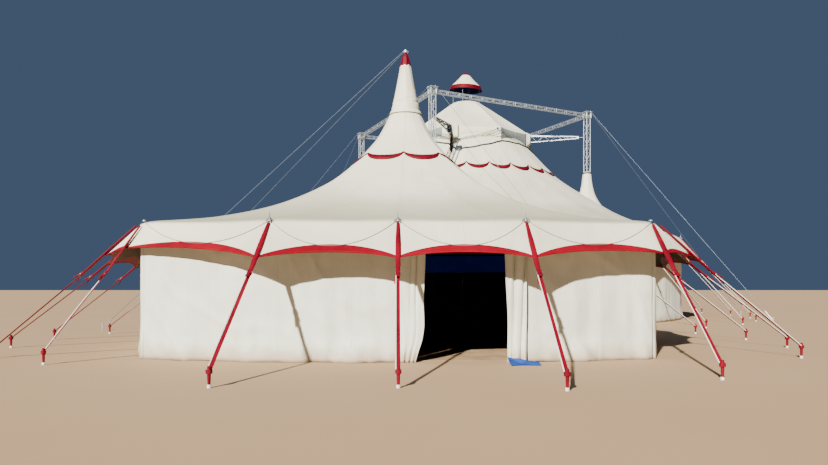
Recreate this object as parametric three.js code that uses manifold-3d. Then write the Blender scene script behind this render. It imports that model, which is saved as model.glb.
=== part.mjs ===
// A one-ring circus tent: a single-mast entrance tent laced in front of a round
// four-mast big top, with a short canvas link between their doorways.
// Lengths are millimetres and +Z is up. The entrance faces -Y, and the origin is
// the middle of the entrance mast's foot plate, on the ground.
import * as THREE from 'three';
import { mergeVertices } from 'three/addons/utils/BufferGeometryUtils.js';
import Module from 'manifold-3d';

const wasm = await Module();
wasm.setup();

// Driving dimensions
const fitGap = 0.3;
const canvasThick = 20;
const cuspShare = 0.29;      // the skirt's points lie this far down each guy strap
const strapWidth = 90;
const strapThick = 14;

const foyer = {
  centre: [0, 0],
  crown: 2820,               // height of the fold between roof and skirt
  poleRadius: 38,
  wallTop: 2640,
  ringRadius: 390,
  profile: [[0, 6370], [0.084, 5440], [0.26, 4375], [0.5, 3545], [0.75, 3060], [1, 2820]],
  roofRows: [0, 0.06, 0.16, 0.34, 0.62, 1],
  edgeGap: 0.8,              // between the white canvas and its red edge
  poleGap: 10.4,             // how far a pole ends below the canvas
  columnsPerBay: 4,
};
const cornerReach = 3140;
const sideReach = 3300;
const cornerShare = 0.25;
const forward = [0, -1];
const backward = [0, 1];
const rightward = [1, 0];
const leftward = [-1, 0];
// The entrance tent's posts, from the middle of the front round by the right. Each corner
// is two posts with one pole; a post without a reach has no strap and only a short eave.
const foyerPosts = [
  { at: [-80, -5220], out: [0.027, -1], reach: 3345 },
  { at: [2420, -5220], out: [-0.008, -1], reach: 3620 },
  { at: [5090, -4650], out: forward, reach: 3100, share: cornerShare },
  { at: [5156, -4600], out: rightward, reach: cornerReach, share: cornerShare, pole: false },
  { at: [5950, -2370], out: rightward, reach: 3400 },
  { at: [6300, 0], out: rightward, reach: sideReach },
  { at: [5950, 2370], out: rightward, reach: sideReach },
  { at: [5156, 4600], out: rightward, reach: cornerReach, share: cornerShare, pole: false },
  { at: [5090, 4650], out: backward },
  { at: [2420, 5220], out: backward },
  { at: [-80, 5220], out: backward },
  { at: [-2580, 5220], out: backward },
  { at: [-5204, 4650], out: backward },
  { at: [-5270, 4600], out: leftward, reach: cornerReach, share: cornerShare, pole: false },
  { at: [-6200, 2370], out: leftward, reach: sideReach },
  { at: [-6600, 0], out: leftward, reach: sideReach },
  { at: [-6200, -2370], out: leftward, reach: 3400 },
  { at: [-5336, -4600], out: leftward, reach: cornerReach, share: cornerShare, pole: false },
  { at: [-5270, -4650], out: [-0.805, -0.594], reach: 1850, share: 0.2 },
  { at: [-2580, -5220], out: [-0.048, -0.999], reach: 3345 },
];

const bigTop = {
  centre: [3065, 16770],
  crown: 3800,
  poleRadius: 45,
  wallTop: 3600,
  ringRadius: 790,
  profile: [[0, 11330], [0.24, 9010], [0.42, 7080], [0.63, 5600], [0.76, 4830], [1, 3800]],
  roofRows: [0, 0.2, 0.42, 0.63, 0.8, 1],
  edgeGap: 0.8,
  poleGap: 6.5,
  columnsPerBay: 2,
};
const bigRadius = 10800;
const bigBays = 28;
const bigFirstAngle = -94.7;
const bigReach = 3200;

const entrance = { from: 0.204, to: 0.834 };      // shares of the bay that holds it
const doorway = { left: 305, right: 2030, height: 2050 };   // between the two tents

const mast = {
  side: 270, height: 10390, orbit: 6380, angles: [-108.3, -18.3, 71.7, 157.6], turn: 26.7,
  chord: 24, lace: 12, panels: 5,
};
const headBlock = { side: 330, from: 10150, to: 10450 };
const truss = { side: 170, panels: 4, level: 10300 };
// Pegs of each mast's guys: turn from the mast's own direction, distance from the middle
const guyFeet = [[-15, 14600], [15, 14600]];
const frontGuyFeet = [[-37.6, 14170], [36.2, 13840]];
const cableRadius = 9;

const canvasLook = { color: 0xdedccf, roughness: 0.62, metalness: 0 };
const wallLook = { color: 0xe4e4dc, roughness: 0.7, metalness: 0 };
const redLook = { color: 0xb4202c, roughness: 0.55, metalness: 0 };
const navyLook = { color: 0x0b1034, roughness: 0.8, metalness: 0 };
const blueLook = { color: 0x2c5fc4, roughness: 0.6, metalness: 0 };
const steelLook = { color: 0xb4bcc4, roughness: 0.4, metalness: 0.85 };
const cableLook = { color: 0x8d959c, roughness: 0.45, metalness: 0.7 };

const group = new THREE.Group();
const degrees = Math.PI / 180;
const up = new THREE.Vector3(0, 0, 1);

// Solids: geometry with only merged positions and an index, faces outward

function outward(geometry) {
  const p = geometry.attributes.position.array;
  const index = geometry.index.array;
  let volume = 0;
  const [a, b, c] = [new THREE.Vector3(), new THREE.Vector3(), new THREE.Vector3()];
  for (let i = 0; i < index.length; i += 3) {
    a.fromArray(p, 3 * index[i]);
    b.fromArray(p, 3 * index[i + 1]);
    c.fromArray(p, 3 * index[i + 2]);
    volume += a.dot(b.cross(c));
  }
  if (volume < 0) {
    for (let i = 0; i < index.length; i += 3) {
      [index[i + 1], index[i + 2]] = [index[i + 2], index[i + 1]];
    }
  }
  return geometry;
}

function welded(geometry) {
  geometry.deleteAttribute('normal');
  geometry.deleteAttribute('uv');
  return outward(mergeVertices(geometry, 0.001));
}

function toManifold(geometry) {
  return new wasm.Manifold(new wasm.Mesh({
    numProp: 3,
    vertProperties: Float32Array.from(geometry.attributes.position.array),
    triVerts: Uint32Array.from(geometry.index.array),
  }));
}

function toGeometry(solid) {
  const cut = solid.getMesh();
  const geometry = new THREE.BufferGeometry();
  geometry.setAttribute('position', new THREE.BufferAttribute(cut.vertProperties, 3));
  geometry.setIndex(new THREE.BufferAttribute(cut.triVerts, 1));
  return geometry;
}

function fused(geometries) {
  return toGeometry(geometries.map(toManifold).reduce((whole, piece) => whole.add(piece)));
}

function without(geometry, cutters) {
  const whole = toManifold(geometry);
  return toGeometry(cutters.map(toManifold).reduce((left, cut) => left.subtract(cut), whole));
}

function addPart(name, geometry, look) {
  const mesh = new THREE.Mesh(geometry, new THREE.MeshStandardMaterial(look));
  mesh.name = name;
  group.add(mesh);
}

function block(width, depth, height, centre, turn = 0) {
  return welded(new THREE.BoxGeometry(width, depth, height))
    .rotateZ(turn * degrees)
    .translate(...centre);
}

// A bar from one point to another; side is across it and level
function beam(from, to, width, thick, sides = 0) {
  const a = new THREE.Vector3(...from);
  const b = new THREE.Vector3(...to);
  const along = b.clone().sub(a);
  const length = along.length();
  along.normalize();
  const level = Math.abs(along.z) > 0.999
    ? new THREE.Vector3(1, 0, 0)
    : new THREE.Vector3().crossVectors(along, up);
  level.normalize();
  const normal = new THREE.Vector3().crossVectors(level, along);
  const shape = sides
    ? new THREE.CylinderGeometry(width, width, length, sides)
    : new THREE.BoxGeometry(width, length, thick);
  const place = new THREE.Matrix4().makeBasis(level, along, normal);
  place.setPosition(a.add(b).multiplyScalar(0.5));
  return welded(shape).applyMatrix4(place);
}

const rod = (from, to, radius, sides = 6) => beam(from, to, radius, 0, sides);

// A taut cable down to a peg in the ground, with a turnbuckle at its foot
function stay(from, [x, y]) {
  const foot = new THREE.Vector3(x, y, 90);
  const top = new THREE.Vector3(...from);
  const buckle = top.clone().sub(foot).setLength(520).add(foot);
  return [
    rod(from, buckle.clone().lerp(foot, 0.1).toArray(), cableRadius, 4),
    beam(buckle.toArray(), foot.toArray(), 34, 34),
    rod([x, y, 0], [x, y, 240], 34),
  ];
}

function extruded(points, from, to) {
  const shape = new THREE.Shape(points.map(([x, y]) => new THREE.Vector2(x, y)));
  return welded(new THREE.ExtrudeGeometry(shape, { depth: to - from, bevelEnabled: false }))
    .translate(0, 0, from);
}

function turned(profile, sides, [x, y] = [0, 0], turn = 0) {
  const points = profile.map(([r, z]) => new THREE.Vector2(r, z));
  return welded(new THREE.LatheGeometry(points, sides))
    .rotateX(Math.PI / 2)
    .rotateZ(turn * degrees)
    .translate(x, y, 0);
}

// A closed shell between two grids of points, rows by columns
function shell(outer, inner) {
  const rows = outer.length;
  const columns = outer[0].length;
  const positions = [...outer.flat(), ...inner.flat()].flatMap((point) => point.toArray());
  const at = (side, row, column) => side * rows * columns + row * columns + column;
  const index = [];
  const quad = (a, b, c, d) => index.push(a, b, c, a, c, d);
  for (let r = 0; r < rows - 1; r++) {
    for (let c = 0; c < columns - 1; c++) {
      const corners = [[r, c], [r, c + 1], [r + 1, c + 1], [r + 1, c]];
      const [diagonal, other] = [0, 1].map((k) => {
        const [from, to] = [corners[k], corners[k + 2]];
        return outer[from[0]][from[1]].distanceTo(outer[to[0]][to[1]]);
      });
      if (other < diagonal) corners.push(corners.shift());
      quad(...corners.map((corner) => at(0, ...corner)));
      quad(...[0, 3, 2, 1].map((k) => at(1, ...corners[k])));
    }
  }
  for (let c = 0; c < columns - 1; c++) {
    quad(at(0, 0, c), at(1, 0, c), at(1, 0, c + 1), at(0, 0, c + 1));
    quad(at(1, rows - 1, c + 1), at(1, rows - 1, c), at(0, rows - 1, c), at(0, rows - 1, c + 1));
  }
  for (let r = 0; r < rows - 1; r++) {
    quad(at(0, r + 1, 0), at(1, r + 1, 0), at(1, r, 0), at(0, r, 0));
    quad(at(1, r, columns - 1), at(1, r + 1, columns - 1), at(0, r + 1, columns - 1), at(0, r, columns - 1));
  }
  const geometry = new THREE.BufferGeometry();
  geometry.setAttribute('position', new THREE.BufferAttribute(new Float32Array(positions), 3));
  geometry.setIndex(new THREE.BufferAttribute(new Uint32Array(index), 1));
  return outward(geometry);
}

// The big top's posts, evenly round it; those beside the other tent have no straps

function bigPosts() {
  const posts = [];
  for (let i = 0; i < bigBays; i++) {
    const angle = (bigFirstAngle + (360 / bigBays) * i) * degrees;
    const out = [Math.cos(angle), Math.sin(angle)];
    const at = [bigTop.centre[0] + bigRadius * out[0], bigTop.centre[1] + bigRadius * out[1]];
    const beside = i === 2 || i === bigBays - 2;
    const facing = i <= 1 || i === bigBays - 1;
    posts.push({ at, out, reach: facing ? 0 : beside ? 2200 : bigReach });
  }
  return posts;
}

const shortEave = { out: 250, drop: 310 };
foyer.posts = foyerPosts;
bigTop.posts = bigPosts();
for (const tent of [foyer, bigTop]) {
  for (const post of tent.posts) {
    const share = post.share ?? cuspShare;
    post.cuspOut = post.reach ? share * post.reach : shortEave.out;
    post.cuspDrop = post.reach ? share * tent.crown : shortEave.drop;
  }
}

const wrap = (tent, i) => tent.posts[((i % tent.posts.length) + tent.posts.length) % tent.posts.length];
const mix = (a, b, share) => a + (b - a) * share;

function roofHeight(tent, share) {
  const curve = new THREE.SplineCurve(tent.profile.map(([u, z]) => new THREE.Vector2(u, z)));
  let [low, high] = [0, 1];
  for (let i = 0; i < 40; i++) {
    const middle = (low + high) / 2;
    if (curve.getPoint(middle).x < share) low = middle;
    else high = middle;
  }
  return curve.getPoint(low).y;
}

// The crown line and the skirt below it, at a place counted in bays
function eaveAt(tent, place) {
  const i = Math.floor(place);
  const share = place - i;
  const [a, b] = [wrap(tent, i), wrap(tent, i + 1)];
  const gusset = a.share && b.share;
  const bow = 4 * share * (1 - share) * (gusset ? 0.45 : 1);
  return {
    crown: [mix(a.at[0], b.at[0], share), mix(a.at[1], b.at[1], share)],
    out: [0, 1].map((k) => mix(a.out[k] * a.cuspOut, b.out[k] * b.cuspOut, share)),
    drop: mix(a.cuspDrop, b.cuspDrop, share),
    white: 0.98 - 0.33 * bow,
    red: 1 - 0.154 * bow,
  };
}

function skirtPoint(tent, eave, share) {
  return new THREE.Vector3(
    eave.crown[0] + eave.out[0] * share,
    eave.crown[1] + eave.out[1] * share,
    tent.crown - eave.drop * share,
  );
}

function canopyColumn(tent, place) {
  const eave = eaveAt(tent, place);
  const [cx, cy] = tent.centre;
  const radial = new THREE.Vector2(eave.crown[0] - cx, eave.crown[1] - cy);
  const ring = radial.clone().setLength(tent.ringRadius);
  const points = tent.roofRows.map((share) => new THREE.Vector3(
    cx + mix(ring.x, radial.x, share),
    cy + mix(ring.y, radial.y, share),
    roofHeight(tent, share),
  ));
  points.push(skirtPoint(tent, eave, eave.white / 2));
  points.push(skirtPoint(tent, eave, eave.white));
  points.push(skirtPoint(tent, eave, eave.red));
  return points;
}

// Outer and inner grids of a tent's whole canopy, with its red edge as last strip
function canopyGrids(tent) {
  const perBay = tent.columnsPerBay;
  const count = tent.posts.length * perBay;
  const columns = [];
  for (let c = 0; c < count; c++) columns.push(canopyColumn(tent, c / perBay));
  const at = (c, r) => columns[(c + count) % count][r];
  const rows = columns[0].length;
  const inner = columns.map((column, c) => column.map((point, r) => {
    const across = at(c + 1, r).clone().sub(at(c - 1, r));
    const down = at(c, Math.min(r + 1, rows - 1)).clone().sub(at(c, Math.max(r - 1, 0)));
    const normal = down.cross(across).normalize();
    return point.clone().addScaledVector(normal, -canvasThick);
  }));
  return { outer: columns, inner, count, perBay, rows };
}

// Part of a canopy between two places counted in bays, with cut ends held apart
function canopyPiece(tent, grids, from, to, firstRow, lastRow, startGap = 0) {
  const [first, last] = [Math.round(from * grids.perBay), Math.round(to * grids.perBay)];
  const sides = [grids.outer, grids.inner].map((side) => {
    const rows = [];
    for (let r = firstRow; r <= lastRow; r++) {
      const row = [];
      for (let c = first; c <= last; c++) {
        const column = side[((c % grids.count) + grids.count) % grids.count];
        const point = column[r].clone();
        if (r === firstRow && startGap) {
          const down = column[r + 1].clone().sub(column[r]).setLength(startGap);
          point.add(down);
        }
        if (c === first || c === last) {
          const around = new THREE.Vector3(-(point.y - tent.centre[1]), point.x - tent.centre[0], 0);
          point.addScaledVector(around.normalize(), c === first ? fitGap : -fitGap);
        }
        row.push(point);
      }
      rows.push(row);
    }
    return rows;
  });
  return shell(...sides);
}

// A guy strap with its pole point, ratchet, sewn cusp patch and peg

function guyStrap(tent, post) {
  const [x, y] = post.at;
  const { out, reach } = post;
  const cusp = post.share ?? cuspShare;
  const slope = Math.atan2(tent.crown, reach);
  const lift = strapThick / 2 + (post.share ? 28 : 7);
  const raised = (share, above) => [
    x + out[0] * (reach * share + above * Math.sin(slope)),
    y + out[1] * (reach * share + above * Math.sin(slope)),
    tent.crown * (1 - share) + above * Math.cos(slope),
  ];
  const pegShare = 0.97;
  const peg = raised(pegShare, lift);
  const capX = x + out[0] * 40;
  const capY = y + out[1] * 40;
  return [
    beam(raised(0.002, lift), raised(0.42, lift), strapWidth, strapThick),
    beam(raised(0.4, lift), raised(pegShare, lift), strapWidth * 0.6, strapThick * 0.9),
    beam(raised(cusp * 0.986, 0), raised(cusp * 1.04, 0), strapWidth * 0.9, lift * 2),
    rod([peg[0], peg[1], 0], [peg[0], peg[1], 260], 40, 4),
    rod([capX, capY, tent.crown - (post.share ? -5 : 7)], [capX, capY, tent.crown + 70], 30, 5),
  ];
}

function edgeWithStraps(tent, grids, from, to) {
  const lastRow = grids.rows - 1;
  const pieces = [canopyPiece(tent, grids, from, to, lastRow - 1, lastRow, tent.edgeGap)];
  for (let i = Math.ceil(from); i <= to; i++) {
    if (wrap(tent, i).reach) pieces.push(...guyStrap(tent, wrap(tent, i)));
  }
  return fused(pieces);
}

// Side poles under the crown, joined by the rope that runs round their tops

function sidePoles(tent, from, to) {
  const ropeLevel = tent.crown - 130;
  const pieces = [];
  const crownAt = (place) => eaveAt(tent, place).crown;
  const between = Array.from({ length: Math.floor(to) - Math.ceil(from) + 1 }, (_, k) => Math.ceil(from) + k);
  const ends = [from, ...between, to];
  for (let k = 0; k < ends.length - 1; k++) {
    if (ends[k] === ends[k + 1]) continue;
    const [a, b] = [crownAt(ends[k]), crownAt(ends[k + 1])];
    const span = Math.hypot(b[0] - a[0], b[1] - a[1]);
    const trim = fitGap / span;
    const startShare = k === 0 ? trim : 0;
    const endShare = k === ends.length - 2 ? 1 - trim : 1;
    const on = (share) => [mix(a[0], b[0], share), mix(a[1], b[1], share), ropeLevel];
    pieces.push(rod(on(startShare), on(endShare), 12, 3));
  }
  for (let i = Math.ceil(from); i <= to; i++) {
    const post = wrap(tent, i);
    if (post.pole === false) continue;
    const steepest = post.cuspDrop / post.cuspOut;
    const gap = post.share ? 32 : tent.poleGap;
    const top = tent.crown - canvasThick * 1.45 - tent.poleRadius * steepest - gap;
    pieces.push(rod([...post.at, 0], [...post.at, top], tent.poleRadius));
  }
  return fused(pieces);
}

// Upright canvas beside the pole line, between two places counted in bays

function planPoint(tent, place, offset) {
  const i = Math.floor(place + 1e-9);
  const share = Math.max(0, place - i);
  const edgeNormal = (k) => {
    const [a, b] = [wrap(tent, k).at, wrap(tent, k + 1).at];
    return new THREE.Vector2(b[1] - a[1], a[0] - b[0]).normalize();
  };
  const [a, b] = [wrap(tent, i).at, wrap(tent, i + 1).at];
  const normal = edgeNormal(i);
  const miter = (k) => {
    const [n1, n2] = [edgeNormal(k - 1), edgeNormal(k)];
    return n1.clone().add(n2).multiplyScalar(offset / (1 + n1.dot(n2)));
  };
  const shift = share < 1e-6 ? miter(i) : normal.clone().multiplyScalar(offset);
  return [mix(a[0], b[0], share) + shift.x, mix(a[1], b[1], share) + shift.y];
}

function wallOutline(tent, from, to, inside, outside) {
  const places = [from];
  for (let i = Math.floor(from) + 1; i < to; i++) places.push(i);
  places.push(to);
  const trimmed = (offset) => {
    const line = places.map((place) => planPoint(tent, place, offset));
    const pull = (end, next) => {
      const span = Math.hypot(next[0] - end[0], next[1] - end[1]);
      return [mix(end[0], next[0], fitGap / span), mix(end[1], next[1], fitGap / span)];
    };
    const last = line.length - 1;
    return [pull(line[0], line[1]), ...line.slice(1, last), pull(line[last], line[last - 1])];
  };
  return [...trimmed(outside), ...trimmed(inside).reverse()];
}

function wall(tent, from, to, low = 0, high = tent.wallTop) {
  const inside = tent.poleRadius + fitGap;
  return extruded(wallOutline(tent, from, to, inside, inside + canvasThick), low, high);
}

// A curtain drawn into pleats, standing in front of the pole line
function pleatedCurtain(fromX, toX, pleats) {
  const back = foyerPosts[0].at[1] - foyer.poleRadius - fitGap - 28;
  const front = back - 85;
  const line = [];
  for (let k = 0; k <= 2 * pleats; k++) {
    line.push([mix(fromX, toX, k / (2 * pleats)), k % 2 ? front : back]);
  }
  const far = line.map(([x, y]) => [x, y + 28]).reverse();
  return extruded([...line, ...far], 0, foyer.wallTop);
}

// Lattice between two points, square in section, laced on every face

function lattice(from, to, side, panels, chord, lace, twist) {
  const a = new THREE.Vector3(...from);
  const b = new THREE.Vector3(...to);
  const along = b.clone().sub(a);
  const upright = Math.abs(along.z) > Math.abs(along.x) + Math.abs(along.y);
  const first = upright
    ? new THREE.Vector3(Math.cos(twist * degrees), Math.sin(twist * degrees), 0)
    : new THREE.Vector3().crossVectors(along, up).normalize();
  const second = new THREE.Vector3().crossVectors(along, first).normalize();
  const reach = side / 2 - chord;
  const corner = (k, share) => {
    const [s, t] = [[1, 1], [-1, 1], [-1, -1], [1, -1]][k % 4];
    return a.clone().addScaledVector(along, share)
      .addScaledVector(first, s * reach).addScaledVector(second, t * reach).toArray();
  };
  const pieces = [];
  for (let k = 0; k < 4; k++) {
    pieces.push(beam(corner(k, 0), corner(k, 1), chord * 1.6, chord * 1.6));
    for (let panel = 0; panel < panels; panel++) {
      const [low, high] = [0.02 + 0.96 * panel / panels, 0.02 + 0.96 * (panel + 1) / panels];
      const flip = (panel + k) % 2;
      pieces.push(rod(corner(k + flip, low), corner(k + 1 - flip, high), lace, 4));
    }
  }
  return pieces;
}

const polar = (radius, angle) => [
  bigTop.centre[0] + radius * Math.cos(angle * degrees),
  bigTop.centre[1] + radius * Math.sin(angle * degrees),
];

const doorCut = block(doorway.right - doorway.left, 4000, 2 * doorway.height,
  [(doorway.left + doorway.right) / 2, 5900, 0]);

// Entrance tent

const foyerGrids = canopyGrids(foyer);
const foyerSkirtRow = foyerGrids.rows - 2;
addPart('foyer_canopy_front', canopyPiece(foyer, foyerGrids, -4.5, 4.5, 0, foyerSkirtRow), canvasLook);
addPart('foyer_canopy_back', canopyPiece(foyer, foyerGrids, 4.5, 15.5, 0, foyerSkirtRow), canvasLook);
const foyerSides = { front: [-3.5, 3.5], right: [3.5, 7.5], back: [7.5, 12.5], left: [12.5, 16.5] };
for (const [side, [from, to]] of Object.entries(foyerSides)) {
  addPart(`foyer_edge_straps_${side}`, edgeWithStraps(foyer, foyerGrids, from, to), redLook);
}
addPart('foyer_side_poles_front', sidePoles(foyer, -4.5, 4.5), steelLook);
addPart('foyer_side_poles_back', sidePoles(foyer, 4.5, 15.5), steelLook);

addPart('foyer_wall_front_left', wall(foyer, -2, 0), wallLook);
addPart('foyer_wall_front_right', wall(foyer, 1, 2), wallLook);
addPart('foyer_wall_right', wall(foyer, 2, 8), wallLook);
addPart('foyer_wall_back', without(wall(foyer, 8, 12), [doorCut]), wallLook);
addPart('foyer_wall_left', wall(foyer, 12, 18), wallLook);

const [bayStart, bayEnd] = [foyerPosts[0].at[0], foyerPosts[1].at[0]];
const [curtainLeft, curtainRight] = [entrance.from, entrance.to].map((share) => mix(bayStart, bayEnd, share));
addPart('entrance_curtain_left', pleatedCurtain(bayStart + 2 * fitGap, curtainLeft, 2), wallLook);
addPart('entrance_curtain_right', pleatedCurtain(curtainRight, bayEnd - 2 * fitGap, 2), wallLook);

const pelmet = wallOutline(foyer, 8.6, 10.1, -foyer.poleRadius - fitGap - 12, -foyer.poleRadius - fitGap);
addPart('inner_pelmet', extruded(pelmet, 2010, foyer.wallTop - 40), navyLook);

const mastPlate = 500;
const sheetInset = foyer.posts.map((_, i) => planPoint(foyer, i, -60));
const plateHole = block(mastPlate + 2 * fitGap, mastPlate + 2 * fitGap, 100, [0, 0, 0]);
addPart('foyer_groundsheet', without(extruded(sheetInset, 0, 6), [plateHole]), navyLook);

const tubeRadius = 60;
const spindleRadius = 25;
const sleeveTop = 7650;
addPart('foyer_mast', fused([
  block(mastPlate, mastPlate, 20, [0, 0, 10]),
  rod([0, 0, 10], [0, 0, sleeveTop - 10], tubeRadius, 12),
  rod([0, 0, sleeveTop - 20], [0, 0, 8110], spindleRadius, 12),
]), steelLook);
addPart('foyer_peak_sleeve', turned([
  [376, 6370.4], [406, 6370.4], [392, 6480], [314, 6770], [224, 7200], [144, sleeveTop],
  [120, sleeveTop], [200, 7200], [290, 6770], [368, 6480], [376, 6370.4],
], 24), canvasLook);
const tipBore = spindleRadius + 2 * fitGap;
addPart('foyer_peak_tip', turned([
  [tipBore, sleeveTop + fitGap], [146, sleeveTop + fitGap], [92, 7900], [50, 8000], [tipBore, 8010],
  [tipBore, sleeveTop + fitGap],
], 24), redLook);

const foyerGuyFeet = [[-10450, 4000, -40], [-10450, 7300, 30]];
const collarLevel = 8040;
const collar = without(block(150, 190, 60, [0, 0, collarLevel + 3]), [
  rod([0, 0, 7900], [0, 0, 8200], tipBore, 12),
]);
addPart('foyer_mast_guys', fused([collar, ...foyerGuyFeet.flatMap(
  ([x, y, offset]) => stay([Math.sign(x) * 55, offset, collarLevel + 3], [x, y]),
)]), cableLook);

// Link between the two doorways

const bigWallInside = bigTop.poleRadius + fitGap;
const bigWallFace = bigWallInside + canvasThick + fitGap;
const linkStart = foyerPosts[10].at[1] + foyer.poleRadius + canvasThick + 2 * fitGap;
const [doorLeft, doorRight] = [planPoint(bigTop, -1, bigWallFace), planPoint(bigTop, 0, bigWallFace)];
const linkShare = (x) => (x - doorLeft[0]) / (doorRight[0] - doorLeft[0]);
const linkEnd = (x) => mix(doorLeft[1], doorRight[1], linkShare(x)) - fitGap;
const linkStrip = (x1, x2) => [[x1, linkStart], [x2, linkStart], [x2, linkEnd(x2)], [x1, linkEnd(x1)]];
const linkSides = [doorway.left - 20, doorway.right + 20];
addPart('link_tunnel', fused([
  extruded(linkStrip(linkSides[0] - canvasThick, linkSides[0]), 0, 2120),
  extruded(linkStrip(linkSides[1], linkSides[1] + canvasThick), 0, 2120),
  extruded(linkStrip(linkSides[0] - canvasThick, linkSides[1] + canvasThick), 2110, 2130),
]), wallLook);

// Big top

const bigGrids = canopyGrids(bigTop);
const bigSkirtRow = bigGrids.rows - 2;
const quarters = { front: [-5.5, 1.5], right: [1.5, 8.5], back: [8.5, 15.5], left: [15.5, 22.5] };
const armRoot = 3380;
const armTip = 5930;
const hood = {
  start: 790,
  crown: 11450,
  cornerRadius: 3350,
  cornerTop: 9470,
  armTop: 9580,
  belly: 60,
  sag: 110,
  low: 8400,
  mouthWidth: 500,
  mouthTop: 9530,
  windowWidth: 480,
  seam: 0.012,
};

// Everything below the canopy's outer face, for trimming what stands on it
const justOver = (point) => point.clone().setZ(point.z + 0.6);
const lowered = bigGrids.outer.map((column) => column.slice(0, bigSkirtRow).map(justOver));
const underRows = lowered[0].map((_, r) => [...lowered, lowered[0]].map((column) => column[r]));
function underCanopy() {
  const rows = underRows.length;
  const rim = underRows[0].slice(0, -1);
  const columns = rim.length;
  const positions = underRows.flatMap((row) => row.slice(0, -1)).flatMap((p) => p.toArray());
  positions.push(bigTop.centre[0], bigTop.centre[1], rim[0].z);
  positions.push(...underRows[rows - 1].slice(0, -1).flatMap((p) => [p.x, p.y, 0]));
  positions.push(bigTop.centre[0], bigTop.centre[1], 0);
  const index = [];
  const peak = rows * columns;
  const floor = peak + 1;
  for (let c = 0; c < columns; c++) {
    const next = (c + 1) % columns;
    index.push(peak, c, next);
    for (let r = 0; r < rows - 1; r++) {
      const [a, b] = [r * columns + c, r * columns + next];
      index.push(a, a + columns, b + columns, a, b + columns, b);
    }
    const [a, b] = [(rows - 1) * columns + c, (rows - 1) * columns + next];
    index.push(a, floor + c, floor + next, a, floor + next, b);
    index.push(floor + columns, floor + next, floor + c);
  }
  const geometry = new THREE.BufferGeometry();
  geometry.setAttribute('position', new THREE.BufferAttribute(new Float32Array(positions), 3));
  geometry.setIndex(new THREE.BufferAttribute(new Uint32Array(index), 1));
  return outward(geometry);
}
const beneath = underCanopy();

// The hood of one arm: from the ring to an eight-sided edge, then a band down to the roof, open at the arm
function hoodColumn(corner, angle, share) {
  const [cornerX, cornerY] = polar(hood.cornerRadius, corner);
  const [armX, armY] = polar(armRoot, angle);
  const [x, y] = [mix(cornerX, armX, share), mix(cornerY, armY, share)];
  const bow = 4 * share * (1 - share);
  const top = mix(hood.cornerTop, hood.armTop, share) - hood.belly * bow;
  const turn = Math.atan2(y - bigTop.centre[1], x - bigTop.centre[0]) / degrees;
  const [startX, startY] = polar(hood.start, turn);
  const roof = [0, 0.33, 0.66, 1].map((t) => new THREE.Vector3(
    mix(startX, x, t),
    mix(startY, y, t),
    mix(hood.crown, top, t) - hood.sag * bow * Math.sin(Math.PI * t),
  ));
  return [...roof, new THREE.Vector3(x, y, hood.low)];
}

function armHood(k) {
  const angle = mast.angles[k];
  const [before, after] = [mast.angles[(k + 3) % 4], mast.angles[(k + 1) % 4]];
  const first = angle - ((angle - before + 360) % 360) / 2 + hood.seam;
  const last = angle + ((after - angle + 360) % 360) / 2 - hood.seam;
  const outer = [
    ...[0, 0.5].map((share) => hoodColumn(first, angle, share)),
    ...[1, 0.5, 0].map((share) => hoodColumn(last, angle, share)),
  ];
  const inner = outer.map((column) => column.map((point, row) => {
    const edge = row >= column.length - 2;
    const towards = new THREE.Vector3(...bigTop.centre, 0).sub(point.clone().setZ(0));
    const moved = edge ? point.clone().add(towards.setLength(canvasThick * 1.1)) : point.clone();
    return row < column.length - 1 ? moved.setZ(point.z - canvasThick * 1.24) : moved;
  }));
  const mouth = [...polar(armRoot, angle), hood.mouthTop - 1000];
  return without(shell(outer, inner), [beneath, block(800, hood.mouthWidth, 2000, mouth, angle)]);
}

function armWindow(angle) {
  const start = 2300;
  const middle = polar((start + armRoot) / 2, angle);
  return block(armRoot - start, hood.windowWidth, 2500, [...middle, 9420], angle);
}

const holeSide = mast.side + 50;
const mastHole = (angle) => block(holeSide, holeSide, 3000, [...polar(mast.orbit, angle), 6300], mast.turn);

Object.entries(quarters).forEach(([side, [from, to]], k) => {
  const angle = mast.angles[k];
  const sheet = canopyPiece(bigTop, bigGrids, from, to, 0, bigSkirtRow);
  const pierced = without(sheet, [mastHole(angle), armWindow(angle)]);
  addPart(`big_canopy_${side}`, pierced, canvasLook);
  addPart(`arm_boot_${side}`, armHood(k), canvasLook);
  addPart(`big_edge_straps_${side}`, edgeWithStraps(bigTop, bigGrids, from, to), redLook);
});
addPart('big_side_poles_front', sidePoles(bigTop, -5.5, 8.5), steelLook);
addPart('big_side_poles_back', sidePoles(bigTop, 8.5, 22.5), steelLook);

addPart('big_wall_front', without(wall(bigTop, -6, 2), [doorCut]), wallLook);
addPart('big_wall_right', wall(bigTop, 2, 9), wallLook);
addPart('big_wall_back', wall(bigTop, 9, 16), wallLook);
addPart('big_wall_left', wall(bigTop, 16, 22), wallLook);

// Masts, head trusses and guys

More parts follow.
